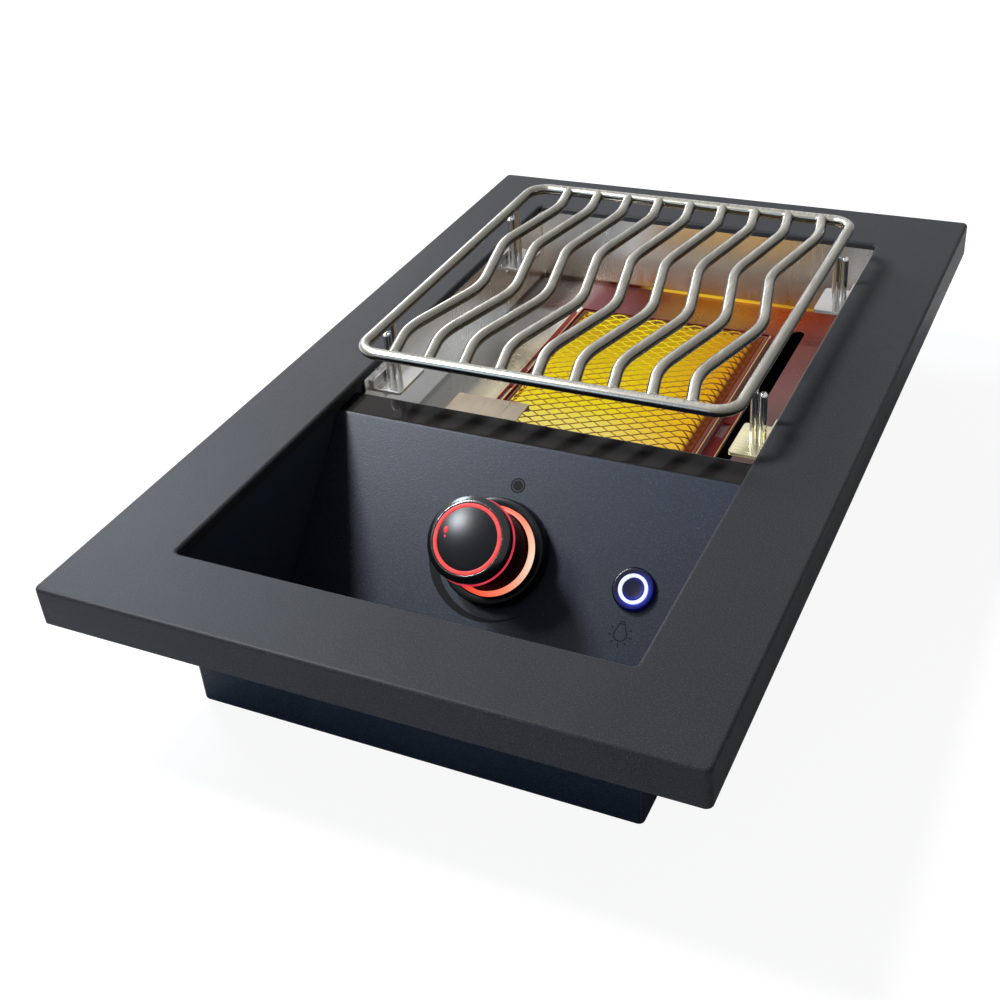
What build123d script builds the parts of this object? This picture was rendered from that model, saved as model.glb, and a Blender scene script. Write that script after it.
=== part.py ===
from build123d import *
import os
from math import cos, radians, sin, tan

os.makedirs("parts", exist_ok=True)

# Trim and box sizes in millimetres
trim_width = 320.0  # left to right over the trim
trim_depth = 512.0  # front to back over the trim
trim_skirt = 20.0  # height of the turned-down outer edge
trim_sheet = 1.2
trim_corner = 3.2
trim_bend = 2.0  # outside radius of the bends
side_margin = 46.5  # trim border beside the opening
front_margin = 45.5
back_margin = 48.0
open_corner = 2.4
lip_depth = 6.0  # lip turned down round the opening
box_depth = 90.0  # trim top down to the underside
box_sheet = 1.0
box_flange = 14.0  # flange of the box under the trim
box_corner = 3.0
box_bend = 2.0
slip = 0.2  # air between sheets slipped together
vent_length = 34.0
vent_width = 6.0
vent_pitch = 22.0
vent_count = 8
fixing_hole = 2.6  # radius of the side fixing holes
fixing_spacing = 170.0
fixing_from_middle = 95.0  # middle of a pair, behind the trim's middle
fixing_z = 22.0

# Control panel sizes
panel_sheet = 1.5
panel_slope = radians(45)
panel_bend = 3.0
land_drop = 8.0  # trim top down to the flat land behind the slope
land_depth = 21.5
land_from_middle = 40.0  # back edge of the land, in front of the trim's middle
land_return = 16.0
panel_foot = 14.0
panel_tab = 13.0
panel_gap = 0.6  # air at both ends of the panel
screw_radius = 1.9
screw_head = 3.6
screw_head_height = 2.2

# Burner bay sizes
liner_sheet = 0.8
liner_floor = 51.0  # trim top down to the floor of the bay
liner_drop = 3.5  # trim top down to the liner's upper edge
dimple = 5.0  # radius of the pressed seats behind the rivets
liner_corner = 2.0
rivet_radius = 1.6
rivet_head = 3.0
rivet_dome = 1.0
rivet_under = 9.0  # rivets below the underside of the bracket tabs
slot_width = 8.0  # air slot in the floor right of the burner
slot_gap = 0.5  # from the burner's flange to the slot
slot_end = 20.0  # from the burner body to the back end of the slot

# Burner sizes
burner_width = 127.0
burner_front_gap = 16.5  # land to the burner body
burner_back_gap = 50.0  # burner body to the back edge of the opening
burner_sheet = 1.2
burner_rim = 6.0  # rim above the floor of the bay
burner_flange = 8.0
flange_slot_width = 4.5  # locating slots in the flange
flange_slot_length = 16.0
flange_slot_spacing = 38.5
burner_floor = 8.0  # underside of the burner body above the ground
burner_fit = 0.4
tile_thick = 11.0
tile_gap = 1.0
tile_drop = 1.0
gasket = 2.0
screen_rise = 5.0  # top of the screen over the burner rim
screen_margin = 6.0
screen_sheet = 1.0
screen_long = 13.0  # long way of one gap, pitch across
screen_short = 10.0  # short way of one gap, pitch back
screen_strand = 1.7
screen_edge = 3.0

# Cooking grid sizes
grid_side_gap = 9.5  # opening to the centre of a side rod
grid_over_land = 12.0  # front rod in front of the land's back edge
grid_back_gap = 27.0  # back rod to the back edge of the opening
grid_rise = 24.7  # rod centres above the trim top
frame_rod = 3.2  # radius
frame_corner = 12.0
bar_rod = 3.2
bar_count = 9
bar_margin = 21.6  # side rod to the first bar, before its shift
bar_front = -0.3  # front ends right of the even spacing
bar_back = 3.1  # back ends right of the even spacing
wave_front = 30.5  # front rod to the first peak
wave_back = 25.5  # last peak to the back rod
wave_peaks = (-7.5, 9.0, -4.6, 7.5)  # unrounded peaks right of the even spacing, front to back
wave_bend = 45.0  # radius of the bar's bends
weld_gap = 0.05
leg_rod = 2.0
leg_inset = 1.0  # leg centre inside the side rod's centre
leg_from_land = 25.0  # front legs behind the land
leg_from_back = 58.5  # back legs before the back edge of the opening
peg_rod = 2.2
peg_height = 28.5
peg_gap = 0.3
tab_drop = 11.5  # trim top down to the bracket's tab
tab_reach = 18.5
tab_length = 30.0
tab_sheet = 2.0
tab_wall = 5.0

# Knob sizes, heights measured off the sloping panel
knob_x = -3.5
knob_down = 57.9  # down the slope from the bend
bezel_foot = 28.4
bezel_radius = 27.6
bezel_height = 8.5
bezel_bore = 23.4
bezel_floor = 1.2
bezel_hole = 16.5
board_inner = 17.0
board_thick = 1.4
light_inner = 20.9
light_height = 10.8
drum_bottom = 6.6
drum_waist = 20.4
drum_flare = 22.4
drum_flare_start = 15.0
drum_top = 33.0
drum_wall = 2.2
drum_neck = 20.2
rim_light = 0.8
rim_light_width = 1.2
cap_bottom = 37.0
cap_radius = 21.1
cap_shoulder = 39.2
cap_top = 41.0
cap_lip = 18.6
top_light_outer = 17.7
top_light_inner = 15.8
face_edge = 40.7
face_top = 42.6
ring_gap = 0.1
hub_radius = 7.5
stem_radius = 4.0
stem_flat = 2.6
stem_top = 25.0
stem_tail = 24.0
push_travel = 4.0
stem_fit = 0.06
washer_top = 3.2
washer_thick = 1.2
washer_radius = 7.0
washer_gap = 0.3

# Gas train sizes
valve_radius = 14.0
valve_neck = 11.0
valve_shoulder = 15.0
valve_length = 37.0
valve_boss = 6.5
valve_screw_spacing = 22.0
outlet_reach = 22.0
inlet_reach = 20.0
tube_z = 22.0  # height of the venturi and of the gas tube
venturi_radius = 9.5
venturi_sheet = 0.8
venturi_inside = 110.0  # length inside the burner body
shutter_sheet = 1.0
shutter_fit = 0.08
shutter_length = 18.0
window_length = 11.0
window_height = 13.0
orifice_flats = 10.0
orifice_hex = 6.0
orifice_tip = 5.0
orifice_bore = 0.6
gas_tube_radius = 4.75
gas_tube_wall = 1.0
tube_turn_x = 38.0
tube_cross = 47.0  # in front of the trim's middle
tube_side_gap = 22.9  # tube centre to the box's side wall
tube_bend = 15.0
fitting_thread = 7.94  # free threaded end
fitting_shank = 9.0  # thicker part through the wall
fitting_bore = 4.0
fitting_flats = 24.0
fitting_hex = 7.0
fitting_end = 16.0
nut_thick = 6.0
nut_stand = 2.0  # shank beyond the nut

# Igniter and electrics sizes
igniter_width = 44.5
igniter_depth = 31.5
igniter_height = 17.0
igniter_out = 18.5  # left wall of the igniter box, outside the burner body
igniter_back = 7.5  # front wall behind the front of the burner body
igniter_sheet = 0.8
igniter_foot = 9.5
insulator_radius = 3.0
insulator_low = 30.0
insulator_high = 48.0
electrode_out = 12.5  # outside the burner body
electrode_rod = 0.8
electrode_z = 52.5
electrode_tip = 20.0
lead_radius = 1.75
lead_bend = 16.0
lead_z = 12.0
module_width = 58.0
module_depth = 34.0
module_height = 26.0
module_back = 52.0  # back face, in front of the trim's middle
driver_width = 46.0
driver_depth = 18.0
driver_height = 14.0
driver_back = 55.0
case_round = 2.0

# Switch sizes, heights measured off the sloping panel
switch_x = 71.5
switch_down = 60.6
switch_flange = 10.9
switch_rise = 2.6
switch_thread = 9.4
switch_hole = 9.6
switch_length = 22.0
switch_tail = 8.0
switch_tail_length = 6.0
switch_ring_outer = 7.5
switch_ring_inner = 5.8
switch_ring_depth = 1.6
button_radius = 5.5
button_rise = 2.4
button_travel = 2.5
button_depth = 3.0
button_wall = 0.2
switch_nut_flats = 24.0
switch_nut_thick = 4.0

# Places that follow from the sizes
top_z = box_depth
open_width = trim_width - 2 * side_margin
open_length = trim_depth - front_margin - back_margin
open_mid = (front_margin - back_margin) / 2
well_width = open_width + 2 * (trim_sheet + slip)
well_length = open_length + 2 * (trim_sheet + slip)
box_width = well_width + 2 * box_sheet
box_length = well_length + 2 * box_sheet
flange_z = top_z - trim_sheet
box_back = open_mid + box_length / 2
land_z = top_z - land_drop
land_back = -land_from_middle
land_front = land_back - land_depth
foot_z = box_sheet + panel_sheet
floor_z = top_z - liner_floor
open_back = trim_depth / 2 - back_margin
burner_front = land_back + burner_front_gap
burner_depth = open_back - burner_back_gap - burner_front
burner_y = burner_front + burner_depth / 2
slot_inner = burner_width / 2 + burner_flange + slot_gap
electrode_x = -burner_width / 2 - electrode_out
hood_x = -burner_width / 2 - igniter_out + igniter_width / 2
hood_y = burner_front + igniter_back + igniter_depth / 2
rim_z = floor_z + burner_rim
grid_width = open_width - 2 * grid_side_gap
grid_front = land_back - grid_over_land
grid_depth = open_back - grid_back_gap - grid_front
grid_y = grid_front + grid_depth / 2
bar_pitch = (grid_width - 2 * bar_margin) / (bar_count - 1)
wave_length = (grid_depth - wave_front - wave_back) / 1.5
grid_z = top_z + grid_rise
tab_z = top_z - tab_drop
leg_x = grid_width / 2 - leg_inset
peg_x = leg_x + leg_rod + peg_gap + peg_rod
leg_front = land_back + leg_from_land
leg_back = open_back - leg_from_back
leg_mid = (leg_back + leg_front) / 2
leg_spacing = leg_back - leg_front
panel_half = well_width / 2 - panel_gap
liner_half = open_width / 2 - slip
tube_run_x = well_width / 2 - tube_side_gap
liner_front = land_back + slip
liner_back = open_back - slip
liner_top = top_z - liner_drop
liner_stand = well_width / 2 - slip - liner_half
panel_normal = (0, -sin(panel_slope), cos(panel_slope))


def on_panel(across, down, height=0.0):
    y = land_front - down * cos(panel_slope) - height * sin(panel_slope)
    z = land_z - down * sin(panel_slope) + height * cos(panel_slope)
    return Plane(origin=(across, y, z), x_dir=(1, 0, 0), z_dir=panel_normal)


def beside(plane):
    # upright plane through the same point: x across, y along the panel's normal
    return Plane(origin=plane.origin, x_dir=(1, 0, 0), z_dir=(0, -cos(panel_slope), -sin(panel_slope)))


knob_base = on_panel(knob_x, knob_down)
knob_side = beside(knob_base)
knob_axis = Axis(knob_base.origin, panel_normal)
switch_base = on_panel(switch_x, switch_down)
switch_side = beside(switch_base)
switch_axis = Axis(switch_base.origin, panel_normal)
valve_depth = (knob_base.origin.Z - tube_z) / cos(panel_slope)
valve_mid = on_panel(knob_x, knob_down, -valve_depth).origin
outlet_y = valve_mid.Y + outlet_reach
venturi_front = outlet_y + 2.0
rivet_z = tab_z - tab_sheet - rivet_under
rivet_places = [(leg_front, rivet_z), (leg_back, rivet_z)]
screw_downs = (28.0, 82.0)
screw_depth = 8.0
burner_screw_x = burner_width + burner_flange
burner_screw_y = burner_depth + burner_flange

# Trim: top sheet with a turned-down skirt, one opening and its lip
with BuildPart() as top_trim:
    with BuildSketch(Plane.XY.offset(top_z - trim_skirt)):
        RectangleRounded(trim_width, trim_depth, trim_corner)
    extrude(amount=trim_skirt)
    fillet(top_trim.faces().sort_by(Axis.Z)[-1].edges(), trim_bend)
    with BuildSketch(Plane.XY.offset(top_z - trim_skirt)):
        RectangleRounded(trim_width - 2 * trim_sheet, trim_depth - 2 * trim_sheet, trim_corner - trim_sheet)
    extrude(amount=trim_skirt - trim_sheet, mode=Mode.SUBTRACT)
    with BuildSketch(Plane.XY.offset(top_z - lip_depth)):
        with Locations((0, open_mid)):
            RectangleRounded(open_width + 2 * trim_sheet, open_length + 2 * trim_sheet, open_corner + trim_sheet)
    extrude(amount=lip_depth - trim_sheet)
    with BuildSketch(Plane.XY.offset(top_z)):
        with Locations((0, open_mid)):
            RectangleRounded(open_width, open_length, open_corner)
    extrude(amount=-trim_skirt, mode=Mode.SUBTRACT)
    fillet(top_trim.faces().sort_by(Axis.Z)[-1].inner_wires()[0].edges(), trim_bend)

# Box: folded tray under the opening with a turned-out flange
with BuildPart() as outer_box:
    with BuildSketch():
        with Locations((0, open_mid)):
            RectangleRounded(box_width, box_length, box_corner)
    extrude(amount=flange_z)
    fillet(outer_box.faces().sort_by(Axis.Z)[0].edges(), box_bend)
    with BuildSketch(Plane.XY.offset(box_sheet)):
        with Locations((0, open_mid)):
            RectangleRounded(well_width, well_length, box_corner - box_sheet)
    extrude(amount=flange_z, mode=Mode.SUBTRACT)
    with BuildSketch(Plane.XY.offset(flange_z)):
        with Locations((0, open_mid)):
            RectangleRounded(box_width + 2 * box_flange, box_length + 2 * box_flange, box_corner)
            RectangleRounded(well_width, well_length, box_corner - box_sheet, mode=Mode.SUBTRACT)
    extrude(amount=-box_sheet)
    with BuildSketch():
        with Locations((0, burner_y)):
            with GridLocations(2 * tube_run_x, vent_pitch, 2, vent_count):
                SlotOverall(vent_length, vent_width)
    extrude(amount=box_sheet, mode=Mode.SUBTRACT)
    with BuildSketch(Plane((tube_run_x, box_back, tube_z), x_dir=(-1, 0, 0), z_dir=(0, 1, 0))):
        Circle(fitting_shank + slip)
    extrude(amount=-2 * box_sheet, mode=Mode.SUBTRACT)
    with BuildSketch(Plane.YZ.offset(-box_width)):
        with Locations((fixing_from_middle, fixing_z)):
            with GridLocations(fixing_spacing, 1, 2, 1):
                Circle(fixing_hole)
        with Locations(*rivet_places):
            Circle(rivet_radius + slip)
        for down in screw_downs:
            spot = on_panel(0, down, -screw_depth).origin
            with Locations((spot.Y, spot.Z)):
                Circle(screw_radius + slip)
    extrude(amount=2 * box_width, mode=Mode.SUBTRACT)

# Control panel: flat land, slope and foot folded from one sheet, with end tabs
slope_run = (land_z - foot_z) / tan(panel_slope)
foot_y = land_front - slope_run
with BuildPart() as control_panel:
    with BuildSketch(Plane.YZ.offset(-panel_half)):
        with BuildLine():
            FilletPolyline(
                (land_back, land_z - land_return),
                (land_back, land_z),
                (land_front, land_z),
                (foot_y, foot_z),
                (foot_y - panel_foot, foot_z),
                radius=panel_bend,
            )
            offset(amount=panel_sheet, side=Side.LEFT)
        make_face()
    extrude(amount=2 * panel_half)
    tab_top = on_panel(0, panel_bend * 2, -panel_sheet / 2).origin
    tab_low = on_panel(0, slope_run / cos(panel_slope) - panel_tab * 2, -panel_sheet / 2).origin
    tab_low_in = on_panel(0, slope_run / cos(panel_slope) - panel_tab * 2, -panel_tab).origin
    tab_top_in = on_panel(0, panel_bend * 2, -panel_tab).origin
    for end in (-panel_half, panel_half - panel_sheet):
        with BuildSketch(Plane.YZ.offset(end)):
            with BuildLine():
                Polyline(
                    (tab_top.Y, tab_top.Z),
                    (tab_low.Y, tab_low.Z),
                    (tab_low_in.Y, tab_low_in.Z),
                    (tab_top_in.Y, tab_top_in.Z),
                    close=True,
                )
            make_face()
        extrude(amount=panel_sheet)
    with BuildSketch(Plane.YZ.offset(-box_width)):
        for down in screw_downs:
            spot = on_panel(0, down, -screw_depth).origin
            with Locations((spot.Y, spot.Z)):
                Circle(screw_radius + slip)
    extrude(amount=2 * box_width, mode=Mode.SUBTRACT)
    with BuildSketch(knob_base):
        Circle(stem_radius + 1.5)
        with GridLocations(valve_screw_spacing, 1, 2, 1):
            Circle(screw_radius + slip)
    extrude(amount=-2 * panel_sheet, mode=Mode.SUBTRACT)
    with BuildSketch(switch_base):
        Circle(switch_hole)
    extrude(amount=-2 * panel_sheet, mode=Mode.SUBTRACT)

# Bay liner: polished pan behind the panel with the burner opening and two air slots
liner_depth = liner_back - liner_front
liner_mid = (liner_back + liner_front) / 2
slot_back = burner_y + burner_depth / 2 + slot_end
slot_front = burner_y - burner_depth / 2
with BuildPart() as burner_liner:
    with BuildSketch(Plane.XY.offset(floor_z - liner_sheet)):
        with Locations((0, liner_mid)):
            RectangleRounded(2 * liner_half, liner_depth, liner_corner)
    extrude(amount=liner_top - floor_z + liner_sheet)
    with BuildSketch(Plane.XY.offset(floor_z)):
        with Locations((0, liner_mid)):
            RectangleRounded(
                2 * (liner_half - liner_sheet), liner_depth - 2 * liner_sheet, liner_corner - liner_sheet
            )
    extrude(amount=liner_top, mode=Mode.SUBTRACT)
    with BuildSketch(Plane.XY.offset(land_z - panel_bend)):
        with Locations((0, liner_front)):
            Rectangle(2 * open_width, 4 * liner_corner)
    extrude(amount=land_drop, mode=Mode.SUBTRACT)
    with BuildSketch(Plane.XY.offset(floor_z)):
        with Locations((0, burner_y)):
            Rectangle(burner_width + 2 * burner_fit, burner_depth + 2 * burner_fit)
            with GridLocations(burner_screw_x, burner_screw_y, 2, 2):
                Circle(rivet_radius + slip)
        with Locations((slot_inner + slot_width / 2, (slot_back + slot_front) / 2)):
            SlotOverall(slot_back - slot_front, slot_width, rotation=90)
        with Locations((electrode_x, hood_y)):
            Circle(insulator_radius + ring_gap)
    extrude(amount=-2 * liner_sheet, mode=Mode.SUBTRACT)
    for side in (-1, 1):
        with BuildSketch(Plane.YZ.offset(side * liner_half)):
            with Locations(*rivet_places):
                Circle(dimple)
        extrude(amount=side * liner_stand)
    with BuildSketch(Plane.YZ.offset(-box_width)):
        with Locations(*rivet_places):
            Circle(rivet_radius + slip)
    extrude(amount=2 * box_width, mode=Mode.SUBTRACT)

# Rivets holding the liner's sides to the box
rivet_grip = box_width / 2 - liner_half + liner_sheet
with BuildPart() as liner_rivets:
    for side in (-1, 1):
        for y, z in rivet_places:
            wall = Plane((side * (liner_half - liner_sheet), y, z), x_dir=(0, 1, 0), z_dir=(side, 0, 0))
            with Locations(wall):
                Cylinder(rivet_radius, rivet_grip + rivet_dome, align=(Align.CENTER, Align.CENTER, Align.MIN))
            with Locations(wall.offset(-rivet_dome)):
                Cone(rivet_head / 2, rivet_head, rivet_dome, align=(Align.CENTER, Align.CENTER, Align.MIN))
            with Locations(wall.offset(rivet_grip)):
                Cylinder(rivet_head - 0.5, rivet_dome, align=(Align.CENTER, Align.CENTER, Align.MIN))

# Screws through the box sides into the panel's end tabs
with BuildPart() as panel_screws:
    for side in (-1, 1):
        for down in screw_downs:
            spot = on_panel(0, down, -screw_depth).origin
            wall = Plane((side * box_width / 2, spot.Y, spot.Z), x_dir=(0, 1, 0), z_dir=(side, 0, 0))
            with Locations(wall):
                Cylinder(screw_head, screw_head_height, align=(Align.CENTER, Align.CENTER, Align.MIN))
                Cylinder(screw_radius, 6 * box_sheet, align=(Align.CENTER, Align.CENTER, Align.MAX))
    fillet(panel_screws.faces().filter_by(Axis.X).edges().filter_by(lambda e: e.radius > screw_radius + 1)
           .sort_by(lambda e: -abs(e.center().X))[:4], screw_head_height / 2)

# Grid brackets: four angles on the bay walls
with BuildPart() as grid_brackets:
    wall_in = liner_half - liner_sheet
    for side in (-1, 1):
        with BuildSketch(Plane.XZ.offset(-leg_mid)):
            with BuildLine():
                Polyline(
                    (side * wall_in, tab_z - tab_sheet),
                    (side * wall_in, tab_z + tab_wall),
                    (side * (wall_in - tab_sheet), tab_z + tab_wall),
                    (side * (wall_in - tab_sheet), tab_z),
                    (side * (wall_in - tab_reach), tab_z),
                    (side * (wall_in - tab_reach), tab_z - tab_sheet),
                    close=True,
                )
            make_face()
        extrude(amount=leg_spacing / 2 + tab_length / 2, both=True)
    with BuildSketch(Plane.XY.offset(tab_z - 2 * tab_sheet)):
        with Locations((0, leg_mid)):
            Rectangle(2 * open_width, leg_spacing - tab_length)
    extrude(amount=tab_drop, mode=Mode.SUBTRACT)
    fillet(
        grid_brackets.edges().filter_by(Axis.Z).filter_by(lambda e: abs(e.center().X) < wall_in - tab_reach / 2),
        tab_sheet,
    )

# Pegs that keep the grid's legs in place
with BuildPart() as grid_pegs:
    with Locations((0, leg_mid, tab_z)):
        with GridLocations(2 * peg_x, leg_spacing, 2, 2):
            Cylinder(peg_rod, peg_height, align=(Align.CENTER, Align.CENTER, Align.MIN))
    fillet(grid_pegs.faces().sort_by(Axis.Z)[-4:].edges(), peg_rod * 0.9)

# Grid frame: one rod bent to a rounded rectangle
with BuildPart() as grid_frame:
    with BuildLine(Plane((0, grid_y, grid_z))) as frame_line:
        FilletPolyline(
            (-grid_width / 2, -grid_depth / 2),
            (grid_width / 2, -grid_depth / 2),
            (grid_width / 2, grid_depth / 2),
            (-grid_width / 2, grid_depth / 2),
            radius=frame_corner,
            close=True,
        )
    with BuildSketch(Plane(frame_line.line @ 0, z_dir=frame_line.line % 0)):
        Circle(frame_rod)
    sweep(path=frame_line.line)

# Grid bars: nine rods bent to the same wave, their ends shaped to the frame
wave_points = [(bar_front, -grid_depth / 2)]
for number in range(len(wave_peaks)):
    wave_points.append((wave_peaks[number], wave_front + number * wave_length / 2 - grid_depth / 2))
wave_points.append((bar_back, grid_depth / 2))
with BuildPart() as grid_bars:
    for number in range(bar_count):
        bar_x = (number - (bar_count - 1) / 2) * bar_pitch
        with BuildLine(Plane((bar_x, grid_y, grid_z))) as wave:
            FilletPolyline(*wave_points, radius=wave_bend)
        with BuildSketch(Plane(wave.line @ 0, z_dir=wave.line % 0)):
            Circle(bar_rod)
        sweep(path=wave.line)
    with BuildSketch(Plane(frame_line.line @ 0, z_dir=frame_line.line % 0)):
        Circle(frame_rod + weld_gap)
    sweep(path=frame_line.line, mode=Mode.SUBTRACT)
    for end in (-1, 1):
        with BuildSketch(Plane.YZ.offset(-grid_width / 2)):
            with Locations((grid_y + end * (grid_depth / 2 + frame_rod), grid_z)):
                Rectangle(2 * frame_rod, 4 * frame_rod)
        extrude(amount=grid_width, mode=Mode.SUBTRACT)

# Grid legs: four short rods standing on the brackets
with BuildPart() as grid_legs:
    with Locations((0, leg_mid, tab_z)):
        with GridLocations(2 * leg_x, leg_spacing, 2, 2):
            Cylinder(leg_rod, grid_z - tab_z, align=(Align.CENTER, Align.CENTER, Align.MIN))
    with BuildSketch(Plane.XZ.offset(-leg_mid)):
        with GridLocations(grid_width, 1, 2, 1):
            with Locations((0, grid_z)):
                Circle(frame_rod + weld_gap)
    extrude(amount=leg_spacing, both=True, mode=Mode.SUBTRACT)

# Burner body: deep tray with a flange on the bay floor and a rim over it
with BuildPart() as burner_body:
    with BuildSketch(Plane.XY.offset(burner_floor)):
        with Locations((0, burner_y)):
            RectangleRounded(burner_width, burner_depth, burner_sheet * 2)
    extrude(amount=rim_z - burner_floor)
    with BuildSketch(Plane.XY.offset(floor_z)):
        with Locations((0, burner_y)):
            RectangleRounded(burner_width + 2 * burner_flange, burner_depth + 2 * burner_flange, burner_sheet * 3)
    extrude(amount=burner_sheet)
    with BuildSketch(Plane.XY.offset(burner_floor + burner_sheet)):
        with Locations((0, burner_y)):
            RectangleRounded(burner_width - 2 * burner_sheet, burner_depth - 2 * burner_sheet, burner_sheet)
    extrude(amount=rim_z, mode=Mode.SUBTRACT)
    ledge_z = rim_z - tile_drop - tile_thick
    with BuildSketch(Plane.XY.offset(ledge_z)):
        with Locations((0, burner_y)):
            Rectangle(burner_width - burner_sheet, burner_depth - burner_sheet)
            Rectangle(
                burner_width - 2 * (burner_sheet + gasket * 2), burner_depth - 2 * (burner_sheet + gasket * 2),
                mode=Mode.SUBTRACT,
            )
    extrude(amount=-burner_sheet)
    with BuildSketch(Plane.XZ.offset(-burner_y + burner_depth / 2)):
        with Locations((knob_x, tube_z)):
            Circle(venturi_radius + ring_gap)
    extrude(amount=-2 * burner_sheet, mode=Mode.SUBTRACT)
    with BuildSketch(Plane.XY.offset(floor_z + burner_sheet)):
        with Locations((0, burner_y)):
            with GridLocations(burner_screw_x, burner_screw_y, 2, 2):
                Circle(rivet_radius + slip)
            with GridLocations(burner_screw_x, flange_slot_spacing, 2, 2):
                Rectangle(flange_slot_width, flange_slot_length)
    extrude(amount=-burner_sheet, mode=Mode.SUBTRACT)

# Screws that hold the burner's flange to the bay floor
with BuildPart() as burner_screws:
    with Locations((0, burner_y, floor_z + burner_sheet)):
        with GridLocations(burner_screw_x, burner_screw_y, 2, 2):
            Cylinder(rivet_head, rivet_dome * 1.6, align=(Align.CENTER, Align.CENTER, Align.MIN))
            Cylinder(rivet_radius, 6 * burner_sheet, align=(Align.CENTER, Align.CENTER, Align.MAX))
    fillet(burner_screws.faces().sort_by(Axis.Z)[-4:].edges(), rivet_dome)

# Ceramic tiles: two slabs side by side on the burner's ledge
tile_width = burner_width - 2 * (burner_sheet + gasket + slip)
tile_depth = burner_depth - 2 * (burner_sheet + gasket + slip)
with BuildPart() as ceramic_tiles:
    with Locations((0, burner_y, ledge_z)):
        with GridLocations(1, (tile_depth + tile_gap) / 2, 1, 2):
            Box(tile_width, (tile_depth - tile_gap) / 2, tile_thick, align=(Align.CENTER, Align.CENTER, Align.MIN))
    chamfer(ceramic_tiles.faces().sort_by(Axis.Z)[-2:].edges(), tile_drop)

# Gasket: fibre strip round the tiles
with BuildPart() as tile_gasket:
    with BuildSketch(Plane.XY.offset(ledge_z)):
        with Locations((0, burner_y)):
            RectangleRounded(tile_width + 2 * gasket, tile_depth + 2 * gasket, burner_sheet)
            Rectangle(tile_width + slip, tile_depth + slip, mode=Mode.SUBTRACT)
    extrude(amount=tile_thick)

# Burner screen: expanded sheet over the tiles with turned-down edges
screen_width = burner_width - 2 * screen_margin
screen_depth = burner_depth - 2 * screen_margin
screen_z = rim_z + screen_rise
gaps_across = int((screen_width - 2 * screen_edge - screen_long) / screen_long) + 1
gaps_back = int((screen_depth - 2 * screen_edge - screen_short) / screen_short) + 1
with BuildPart() as burner_screen:
    with BuildSketch(Plane.XY.offset(screen_z)):
        with Locations((0, burner_y)):
            RectangleRounded(screen_width, screen_depth, screen_edge)
            half_long = screen_long / 2 - screen_strand * 0.6
            half_short = screen_short / 2 - screen_strand * 0.5
            gap = ((half_long, 0), (0, half_short), (-half_long, 0), (0, -half_short))
            with GridLocations(screen_long, screen_short, gaps_across, gaps_back):
                Polygon(*gap, mode=Mode.SUBTRACT)
            with GridLocations(screen_long, screen_short, gaps_across - 1, gaps_back - 1):
                Polygon(*gap, mode=Mode.SUBTRACT)
    extrude(amount=-screen_sheet)
    with BuildSketch(Plane.XY.offset(screen_z - screen_sheet)):
        with Locations((0, burner_y)):
            RectangleRounded(screen_width, screen_depth, screen_edge)
            RectangleRounded(
                screen_width - 2 * screen_sheet, screen_depth - 2 * screen_sheet, screen_edge - screen_sheet,
                mode=Mode.SUBTRACT,
            )
    extrude(amount=-(screen_z - screen_sheet - rim_z + tile_drop))

# Venturi tube: mixing tube with a closed front end and two air windows
venturi_back = burner_y - burner_depth / 2 + venturi_inside
venturi_length = venturi_back - venturi_front
along_back = Plane((knob_x, venturi_front, tube_z), x_dir=(1, 0, 0), z_dir=(0, 1, 0))
window_mid = venturi_front + 3.0 + window_length / 2
with BuildPart() as venturi_tube:
    with BuildSketch(along_back):
        Circle(venturi_radius)
    extrude(amount=venturi_length)
    with BuildSketch(along_back.offset(venturi_sheet)):
        Circle(venturi_radius - venturi_sheet)
    extrude(amount=venturi_length, mode=Mode.SUBTRACT)
    with BuildSketch(along_back):
        Circle(orifice_flats * 0.6)
    extrude(amount=venturi_sheet, mode=Mode.SUBTRACT)
    with Locations((knob_x, window_mid, tube_z)):
        Box(4 * venturi_radius, window_length, window_height, mode=Mode.SUBTRACT)

# Air shutter: loose sleeve over the venturi's windows
with BuildPart() as air_shutter:
    with BuildSketch(along_back.offset(1.0)):
        Circle(venturi_radius + shutter_fit + shutter_sheet)
        Circle(venturi_radius + shutter_fit, mode=Mode.SUBTRACT)
    extrude(amount=shutter_length)
    with Locations((knob_x, window_mid, tube_z)):
        Box(4 * venturi_radius, window_length, window_height, mode=Mode.SUBTRACT)

# Orifice: brass hexagon and tip on the valve's outlet
along_outlet = Plane((knob_x, outlet_y, tube_z), x_dir=(1, 0, 0), z_dir=(0, 1, 0))
with BuildPart() as orifice:
    with BuildSketch(along_outlet):
        RegularPolygon(orifice_flats / 2, 6, major_radius=False)
    extrude(amount=orifice_hex)
    with Locations(along_outlet.offset(orifice_hex)):
        Cone(orifice_flats * 0.4, orifice_flats * 0.2, orifice_tip, align=(Align.CENTER, Align.CENTER, Align.MIN))
    with BuildSketch(along_outlet):
        Circle(orifice_bore)
    extrude(amount=orifice_hex + orifice_tip, mode=Mode.SUBTRACT)

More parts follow.
